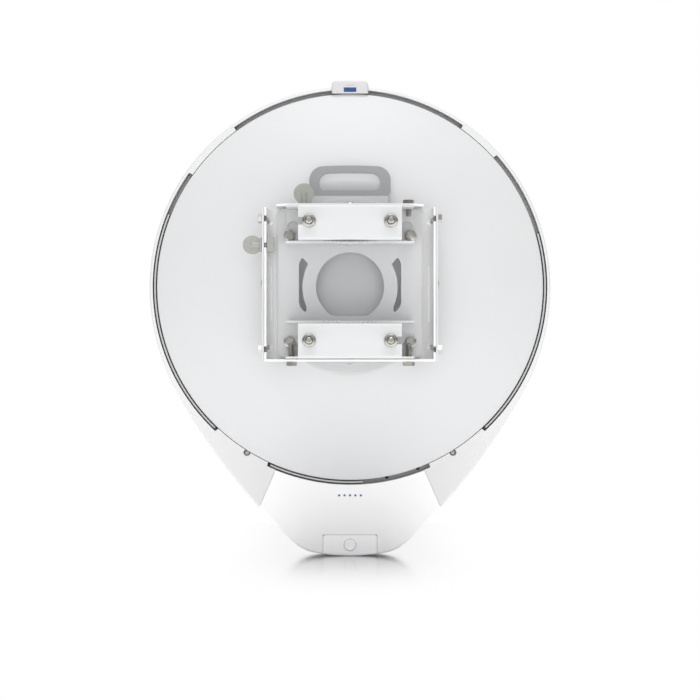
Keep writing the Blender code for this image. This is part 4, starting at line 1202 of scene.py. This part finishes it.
@dataclass
class Housing:
    """Teardrop housing: rear shell, rim ring, radome and the screws that hold them."""

    shop: Workshop
    radius: float = 200.5
    flanks: tuple[tuple[float, float, int], ...] = (
        (217, 28.8, 24), (607, 46.1, 12), (163, 50.0, 5), (41, 80.2, 20))
    back: float = RIM
    front: float = 206.0
    wall: float = 3.0
    edge: float = 2.5
    cavity: float = 197.4
    ledge: float = 194.0
    ledge_back: float = 174.8
    chin_wall: float = 200.6
    boss_radius: float = 193.4
    boss_front: float = 171.3
    bosses: tuple[tuple[float, float], ...] = ((42, 55), (126, 144.5), (-133, -115), (-66, -47))
    ribs: tuple[tuple[float, float], ...] = ((-47, 16), (158, 227), (245, 274))
    cover_front: float = 186.0
    cover_wall: float = 2.5
    chin_edge: float = 200.2
    cover_edge: float = 197.8
    cover_lip: float = 160.8
    seam: float = 22.1
    seam_foot: Point2 = (90.3, -219.6)
    gap: float = 0.3
    screw_back: float = 160.4
    drains: tuple[Point2, ...] = ((37.0, -190.8), (68.1, -182.0))
    drain_radius: float = 1.7

    def teardrop(self, inset: float = 0.0) -> list[Point2]:
        """Outline of the housing: a chain of tangent arcs, moved inwards by inset."""
        right = arc(0, 0, self.radius - inset, 90, 0, 54)
        x, z, start = self.radius, 0.0, 0.0
        px, pz = x, z
        for radius, end, steps in self.flanks:
            for k in range(1, steps + 1):
                a = -math.radians(start + (end - start) * k / steps)
                px = x + radius * (math.cos(a) - math.cos(math.radians(start)))
                pz = z + radius * (math.sin(a) + math.sin(math.radians(start)))
                right.append((px - inset * math.cos(a), pz - inset * math.sin(a)))
            x, z, start = px, pz, end
        base = x / math.cos(math.radians(start))
        for k in range(1, 9):
            a = -math.radians(start + (90 - start) * k / 8)
            pz = z + base * (math.sin(a) + math.sin(math.radians(start)))
            right.append((base * math.cos(a) - inset * math.cos(a), pz - inset * math.sin(a)))
        right[-1] = (0.0, right[-1][1])
        right[0] = (0.0, right[0][1])
        return right + [(-u, v) for u, v in reversed(right[1:-1])]

    def block(self, name: str, front: float) -> Object:
        """Teardrop block with a rounded rear edge."""
        loops = []
        for k in range(7):
            a = math.radians(15 * k)
            inset, y = self.edge * (1 - math.sin(a)), self.back + self.edge * (1 - math.cos(a))
            loops.append([(x, y, z) for x, z in self.teardrop(inset)])
        loops.append([(x, front, z) for x, z in self.teardrop()])
        return loft(name, loops)

    def in_boss(self, angle: float, margin: float = 0.0) -> bool:
        """Whether a boss of the shell closes the gap at an angle."""
        return any(a - margin < way < b + margin for a, b in self.bosses for way in (angle, angle - 360))

    def cavity_outline(self) -> list[Point2]:
        """Round cavity, narrowed where the bosses close the gap."""
        marks = set(range(0, 360, 2))
        for ends in self.bosses:
            for mark in ends:
                marks.update((mark % 360 - 0.1, mark % 360 + 0.1))
        points = []
        for angle in sorted(marks):
            radius = self.boss_radius if self.in_boss(angle) else self.cavity
            points += arc(0, 0, radius, angle, angle, 1)[:1]
        return points

    def chin_space(self) -> list[Point2]:
        """Crescent between the wall round the dish and the housing's outline."""
        outer = [p for p in self.teardrop(self.wall) if math.hypot(*p) > self.chin_wall + 2 and p[1] < 0]
        first, last = [math.degrees(math.atan2(z, x)) for x, z in (outer[0], outer[-1])]
        return outer + arc(0, 0, self.chin_wall, last if last < 0 else last - 360, first, 60)

    def cover_region(self, grow: float, edge: float) -> list[Point2]:
        """Outline of the chin cover: an arc above, straight seams at its sides."""
        swing = self.seam + math.degrees(grow / edge)
        top = arc(0, 0, edge - grow, -90 - swing, -90 + swing, 60)
        out_x, out_z = self.seam_foot[0] + grow, self.seam_foot[1]
        far = (2 * out_x - top[-1][0], 2 * out_z - top[-1][1])
        return top + [far, (far[0], BELOW), (-far[0], BELOW), (-far[0], far[1])]

    def build(self) -> None:
        """Make and dress the housing."""
        shell = self.block("rear_shell_moulded", self.front)
        tools = [
            (self.cavity_outline(), self.back - 5, self.boss_front),
            (circle(0, 0, self.cavity + 0.5, 180), self.boss_front - 1, self.ledge_back),
            (circle(0, 0, self.ledge, 180), self.ledge_back - 1, self.front + 5),
            (self.chin_space(), self.back + self.wall, self.front + 5),
            (self.cover_region(self.gap, self.cover_edge), self.back - 5, self.cover_lip),
            (self.cover_region(self.gap, self.chin_edge), self.back - 5, self.cover_front + self.gap)]
        for x, z in self.drains:
            tools.append((circle(x, z, self.drain_radius, 32), self.ledge_back - 1, self.front + 5))
        for turn in (-1, 1):
            x, z = turn * RIM_SCREW[0], RIM_SCREW[1]
            tools.append((circle(x, z, 3.6, 40), self.back - 3, self.screw_back + 1.5))
            tools.append((circle(x, z, 1.7, 16), self.back, self.boss_front - 1))
        for outline, low, high in tools:
            combine(shell, prism("shell_tool", outline, Axis.Y, low, high))
        self.shop.hand_over(settle(shell), "dish_head", SHELL_PLASTIC, ["rear_shell"])
        self.ring()
        self.radome()
        nodes = [f"shell_screw_{side}" for side in SIDES]
        low, high = span(nodes[0])
        size = FastenerSize(flats=3.0, head=1.2, shank=1.4, length=high.y - low.y, pitch=0.6)
        screws = FastenerMaker(Head.CROSS_SCREW).place("shell_screws", size, nodes, Facing.REAR,
                                                       self.shop.coat(BOLT_STEEL))
        self.shop.hand_over(screws, "dish_head", BOLT_STEEL, nodes)

    def ring(self) -> None:
        """Ring in the gap round the dish, whose rib stands high along some stretches."""
        low, high = span("rim_ring")
        floor, front = self.skirt_floor, high.y
        stretches = [(a % 360, b % 360) for a, b in self.ribs]
        marks = set(range(0, 360))
        for pair in stretches:
            for mark in pair:
                marks.update((mark - 0.15, mark + 0.15))
        loops = []
        for angle in sorted(marks):
            up = any((a < b and a < angle < b) or (a > b and (angle > a or angle < b)) for a, b in stretches)
            rib = low.y if up and not self.in_boss(angle, 0.4) else floor - 0.1
            edge = min(0.4, (floor - rib) / 2)
            profile = [(188.0, floor), (194.3, floor), (194.3, rib + edge), (194.3 + edge, rib),
                       (196.0 - edge, rib), (196.0, rib + edge), (196.0, floor), (197.1, floor),
                       (197.1, front), (188.0, front)]
            c, s = math.cos(math.radians(angle)), math.sin(math.radians(angle))
            loops.append([(r * c, y, r * s) for r, y in profile])
        ring = loft("rim_ring_moulded", loops, cyclic=True)
        for x, z in self.drains:
            combine(ring, prism("drain", circle(x, z, self.drain_radius, 32), Axis.Y, floor - 3, front + 3))
        # The ring's plastic is darker than the shell's: painted shade.
        self.shop.hand_over(settle(ring), "dish_head", TRIM_PLASTIC_WITH_PAINTED_SHADE, ["rim_ring"])

    @property
    def skirt_floor(self) -> float:
        """Place along Y of the ring's floor, just in front of the dish's skirt."""
        return SKIRT + self.gap

    def radome(self) -> None:
        """Smooth domed cap over the housing's front."""
        low, high = span("radome_front")
        pivot, brow, wall = Vector((0.0, -20.0)), 24.0, 2.6
        back, crest = low.y, high.y
        rise = crest - 4.6

        def skin(offset: float) -> list[list[Point3]]:
            """Loops of one skin, from the rim to the crest, offset inwards."""
            loops = []
            for k in range(10):
                a = math.radians(90 * k / 9)
                inset = offset + (brow - offset) * (1 - math.cos(a))
                y = back + 3.0 + (rise - offset - back - 3.0) * math.sin(a)
                loops.append([(x, y, z) for x, z in self.teardrop(inset)])
            base = [Vector(p) for p in self.teardrop(brow)]
            for k in range(1, 15):
                f = 1 - k / 14 * 0.97
                y = rise - offset + (crest - rise) * (1 - f * f)
                loops.append([(x, y, z) for x, z in (pivot + (p - pivot) * f for p in base)])
            return loops

        outer, inner = skin(0.0), skin(wall)
        rim_out = [(x, back, z) for x, z in self.teardrop()]
        rim_in = [(x, back, z) for x, z in self.teardrop(wall)]
        loops = [rim_out, *outer, *reversed(inner), rim_in]
        cap = loft("radome_front_moulded", loops, cyclic=True, fold=len(outer))
        self.shop.hand_over(cap, "dish_head", SHELL_PLASTIC, ["radome_front"])


@dataclass
class Chin:
    """Cover below the dish, with status lights, a sliding port door and its latch button."""

    shop: Workshop
    housing: Housing
    light_z: float = -208.4
    light_pitch: float = 5.4
    lights: int = 5
    door_half: float = 26.85
    door_top: float = -248.0
    button_z: float = -258.0
    button_radius: float = 5.9

    def build(self) -> None:
        """Make and dress the chin."""
        self.cover()
        self.door()
        self.electronics()

    def cover(self) -> None:
        """Cover that wraps the lower end of the housing."""
        house = self.housing
        cover = house.block("pod_cover_moulded", house.cover_front)
        combine(cover, prism("cover_region", house.cover_region(0.0, house.cover_edge), Axis.Y,
                             house.back - 5, house.cover_front - 0.2), "INTERSECT")
        combine(cover, prism("cover_hollow", house.teardrop(house.cover_wall), Axis.Y,
                             house.back + house.cover_wall, house.cover_front + 5))
        grow = self.door_half + house.gap
        combine(cover, prism("doorway", rectangle(-grow, BELOW, grow, self.door_top + house.gap), Axis.Y,
                             house.back - 5, house.cover_front + 5))
        for x in self.light_places():
            combine(cover, prism("light_hole", circle(x, self.light_z, 1.2, 24), Axis.Y, house.back - 3,
                                 house.back + 6))
        # The cover's plastic is lighter than the shell's: painted light.
        self.shop.hand_over(settle(cover), "dish_head", COVER_PLASTIC_WITH_PAINTED_LIGHT, ["pod_cover"])

    def light_places(self) -> list[float]:
        """X of each status light."""
        middle = (self.lights - 1) / 2
        return [(k - middle) * self.light_pitch for k in range(self.lights)]

    def door(self) -> None:
        """Port door with a shallow diamond recess round its button."""
        house = self.housing
        door = house.block("port_door_moulded", house.cover_front - 0.6)
        half = self.door_half
        outline = eased([(-half, BELOW), (half, BELOW), (half, self.door_top, 2.0),
                         (-half, self.door_top, 2.0)], 8)
        combine(door, prism("door_region", outline, Axis.Y, house.back - 5, house.cover_front - 1.0),
                "INTERSECT")
        combine(door, prism("door_hollow", house.teardrop(house.cover_wall), Axis.Y,
                            house.back + house.cover_wall, house.cover_front + 5))
        combine(door, prism("button_hole", circle(0, self.button_z, self.button_radius + house.gap, 64),
                            Axis.Y, house.back - 3, house.back + 6))
        wings = eased([(8.0, self.button_z + 0.8, 0.6), (0.0, self.button_z + 6.8, 3.0),
                       (-8.0, self.button_z + 0.8, 0.6), (0.0, self.button_z - 5.4, 3.0)], 5)
        combine(door, prism("wing_recess", wings, Axis.Y, house.back - 3, house.back + 0.5))
        # The door's and the button's plastic is lighter than the shell's: painted light.
        self.shop.hand_over(settle(door), "port_door_slide", DOOR_PLASTIC_WITH_PAINTED_LIGHT, ["port_door"])
        low, high = span("door_latch_button")
        top = low.y
        profile = eased([(0.0, top + 0.9), (2.2, top + 0.7), (4.4, top, 1.0),
                         (self.button_radius, top + 0.2, 0.9), (self.button_radius, top + 4.8),
                         (7.0, top + 4.8), (7.0, high.y)], 4, False)
        button = lathe("door_latch_button_moulded", profile, Axis.Y, (0.0, self.button_z), steps=72)
        self.shop.hand_over(button, "latch", DOOR_PLASTIC_WITH_PAINTED_LIGHT, ["door_latch_button"])

    def electronics(self) -> None:
        """Light guide, main board and network socket behind the cover."""
        for node, finish in (("led_light_pipe", LAMP_BLUE), ("main_board", BOARD_GREEN),
                             ("ethernet_jack", BARE_METAL)):
            self.shop.dress(node, "dish_head", finish, 0.15)


@dataclass
class PositionCap:
    """Cap on top of the housing with a level vial behind a blue window and the positioning module."""

    shop: Workshop
    corner: float = 4.6
    edge: float = 2.2

    def build(self) -> None:
        """Make and dress the cap."""
        low, high = span("gnss_cap")
        loops = []
        for k in range(13):
            a = math.radians(15 * (k if k < 7 else 12 - k))
            y = low.y + self.edge * (1 - math.cos(a)) if k < 7 else high.y - self.edge * (1 - math.cos(a))
            inset = self.edge * (1 - math.sin(a))
            box = [(low.x + inset, low.z, 1.0), (high.x - inset, low.z, 1.0),
                   (high.x - inset, high.z - inset, self.corner - inset * 0.8),
                   (low.x + inset, high.z - inset, self.corner - inset * 0.8)]
            loops.append([(x, y, z) for x, z in eased(box, 10)])
        cap = loft("gnss_cap_moulded", loops)
        combine(cap, lathe("cap_saddle", [(200.8, 157.7), (200.8, 220.0)], Axis.Y, (0.0, 0.0), steps=360))
        combine(cap, prism("cap_hollow", rectangle(-15, 199.0, 15, 203.6), Axis.Y, 163.0, 191.0))
        vial_low, vial_high = span("level_vial")
        room = Vector((0.3, 0.0, 0.3))
        first, last = vial_low - room, vial_high + room
        pane = eased([(u, v, 0.5) for u, v in rectangle(first.x, first.z, last.x, last.z)], 4)
        combine(cap, prism("pane_recess", pane, Axis.Y, low.y - 3, 157.1))
        slot = eased([(u, v, 0.29) for u, v in rectangle(-4.2, 201.2, 4.2, 201.8)], 4)
        combine(cap, prism("sight_slot", slot, Axis.Y, low.y - 3, low.y + 0.5))
        self.shop.hand_over(settle(cap), "dish_head", CAP_PLASTIC, ["gnss_cap"])
        self.shop.dress("level_vial", "dish_head", VIAL_BLUE, 0.35, 3)
        self.shop.dress("gnss_module", "dish_head", BOARD_GREEN, 0.15)


# ------------------------------------------------------------------ studio

@dataclass
class Studio:
    """White studio: glossy floor, soft light from above and behind, and the camera behind the bridge."""

    eye: Point3 = (0.0, -2142.0, -63.0)
    lens: float = 118.3
    backdrop: float = 1.0
    surround: tuple[tuple[float, Colour], ...] = (
        (0.0, (0.95, 0.95, 0.95)), (0.38, (0.85, 0.85, 0.85)), (0.5, (0.06, 0.06, 0.06)),
        (0.65, (0.14, 0.14, 0.14)), (1.0, (0.6, 0.6, 0.6)))
    surround_gain: float = 1.65
    panel: float = 0.4
    panel_edge: Point2 = (-0.8, -0.97)
    sheen: Colour = (0.78, 0.78, 0.79)
    fade: Point2 = (-0.33, 0.2)
    aside: Point2 = (0.04, 0.13)
    front_fill: float = 0.9
    fill_spread: float = 40.0
    fill_tilt: float = 87.0
    lamp_place: Point3 = (0.0, -1.2, 3.6)
    lamp_aim: Point3 = (0.0, 0.1, -0.1)
    lamp_size: Point2 = (2.6, 2.0)
    lamp_power: float = 66.0
    floor_half: float = 0.6

    def camera(self) -> None:
        """Level camera that looks along +Y."""
        data = bpy.data.cameras.new("camera")
        data.lens = self.lens
        data.sensor_width = 36.0
        data.clip_start, data.clip_end = 0.05, 100.0
        made = bpy.data.objects.new("camera", data)
        made.location = Vector(self.eye) * MM
        made.rotation_euler = (math.pi / 2, 0.0, 0.0)
        bpy.context.scene.collection.objects.link(made)
        bpy.context.scene.camera = made

    def floor(self, level: float) -> None:
        """Mirror patch under the bridge, which fades towards the camera and to both sides."""
        half = self.floor_half
        shape = bmesh.new()
        shape.faces.new([shape.verts.new((x * half, y * half, level))
                         for x, y in ((-1, -1), (1, -1), (1, 1), (-1, 1))])
        mesh = bpy.data.meshes.new("studio_floor")
        shape.to_mesh(mesh)
        shape.free()
        floor = add_object("studio_floor", mesh)
        shader = Shader("studio_floor")
        grain = shader.noise(2.0, 2.0)
        split = shader.node("ShaderNodeSeparateXYZ", sockets={0: shader.place})
        nearness = shader.node("ShaderNodeMapRange", {"interpolation_type": "SMOOTHSTEP"}, {
            "Value": split.out("Y"), "From Min": self.fade[0], "From Max": self.fade[1]})
        aside = shader.node("ShaderNodeMapRange", {"interpolation_type": "SMOOTHSTEP"}, {
            "Value": shader.maths("ABSOLUTE", split.out("X")), "From Min": self.aside[1],
            "From Max": self.aside[0]})
        mesh.materials.append(shader.finish(
            Base_Color=(*self.sheen, 1.0), Roughness=0.12 + grain * 0.03, Metallic=1.0,
            Alpha=nearness * nearness * aside))
        floor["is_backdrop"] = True

    def world(self) -> None:
        """White backdrop ahead, a soft panel behind the eye, and a surround that is dim at the sides."""
        world = bpy.data.worlds.new("studio")
        world.use_nodes = True
        graph = Graph(world.node_tree)
        place = graph.node("ShaderNodeTexCoord", output="Generated")
        split = graph.node("ShaderNodeSeparateXYZ", sockets={0: place})
        ahead = graph.maths("GREATER_THAN", split.out("Y"), 0.9)
        panel = graph.node("ShaderNodeMapRange", {"interpolation_type": "SMOOTHSTEP"}, {
            "Value": split.out("Y"), "From Min": self.panel_edge[0], "From Max": self.panel_edge[1]})
        height = split.out("Z") * 0.5 + 0.5
        surround = graph.node("ShaderNodeValToRGB", {"stops": self.surround}, {0: height})
        around = surround * self.surround_gain + panel * self.panel
        strength = around * (1.0 - ahead) + ahead * self.backdrop
        background = world.node_tree.nodes["Background"]
        background.inputs["Color"].default_value = (1.0, 1.0, 1.0, 1.0)
        world.node_tree.links.new(strength.socket, background.inputs["Strength"])
        bpy.context.scene.world = world

    def lamp(self) -> None:
        """Soft rectangular light above and behind the bridge."""
        data = bpy.data.lights.new("sky_panel", "AREA")
        data.shape = "RECTANGLE"
        data.size, data.size_y = self.lamp_size
        data.energy = self.lamp_power
        made = bpy.data.objects.new("sky_panel", data)
        made.location = self.lamp_place
        way = Vector(self.lamp_aim) - Vector(self.lamp_place)
        made.rotation_euler = way.to_track_quat("-Z", "Y").to_euler()
        bpy.context.scene.collection.objects.link(made)

    def fill(self) -> None:
        """Light from behind the eye, which reaches into the bracket."""
        data = bpy.data.lights.new("front_fill", "SUN")
        data.energy = self.front_fill
        data.angle = math.radians(self.fill_spread)
        made = bpy.data.objects.new("front_fill", data)
        made.rotation_euler = (math.radians(self.fill_tilt), 0.0, 0.0)
        made.visible_glossy = False
        bpy.context.scene.collection.objects.link(made)

    def build(self, level: float) -> None:
        """Set the studio up.

        Args:
            level: height of the floor, in metres.
        """
        bpy.context.scene.view_settings.view_transform = "Standard"
        self.world()
        self.floor(level)
        self.lamp()
        self.fill()
        self.camera()


def main() -> None:
    """Build the studio, its floor just below the imported model, and the bridge."""
    logging.basicConfig(level=logging.INFO, format="%(name)s: %(message)s")
    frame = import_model()
    before = [list(corner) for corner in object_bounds()]
    Studio().build(before[0][2] - 0.0002)
    shop = Workshop(frame)
    reflector = Reflector(shop)
    housing = Housing(shop)
    housing.build()
    reflector.build()
    Hub(shop).build(reflector)
    Chin(shop, housing).build()
    PositionCap(shop).build()
    Bracket(shop).build()
    PoleClamp(shop).build()


if __name__ == "__main__":
    main()
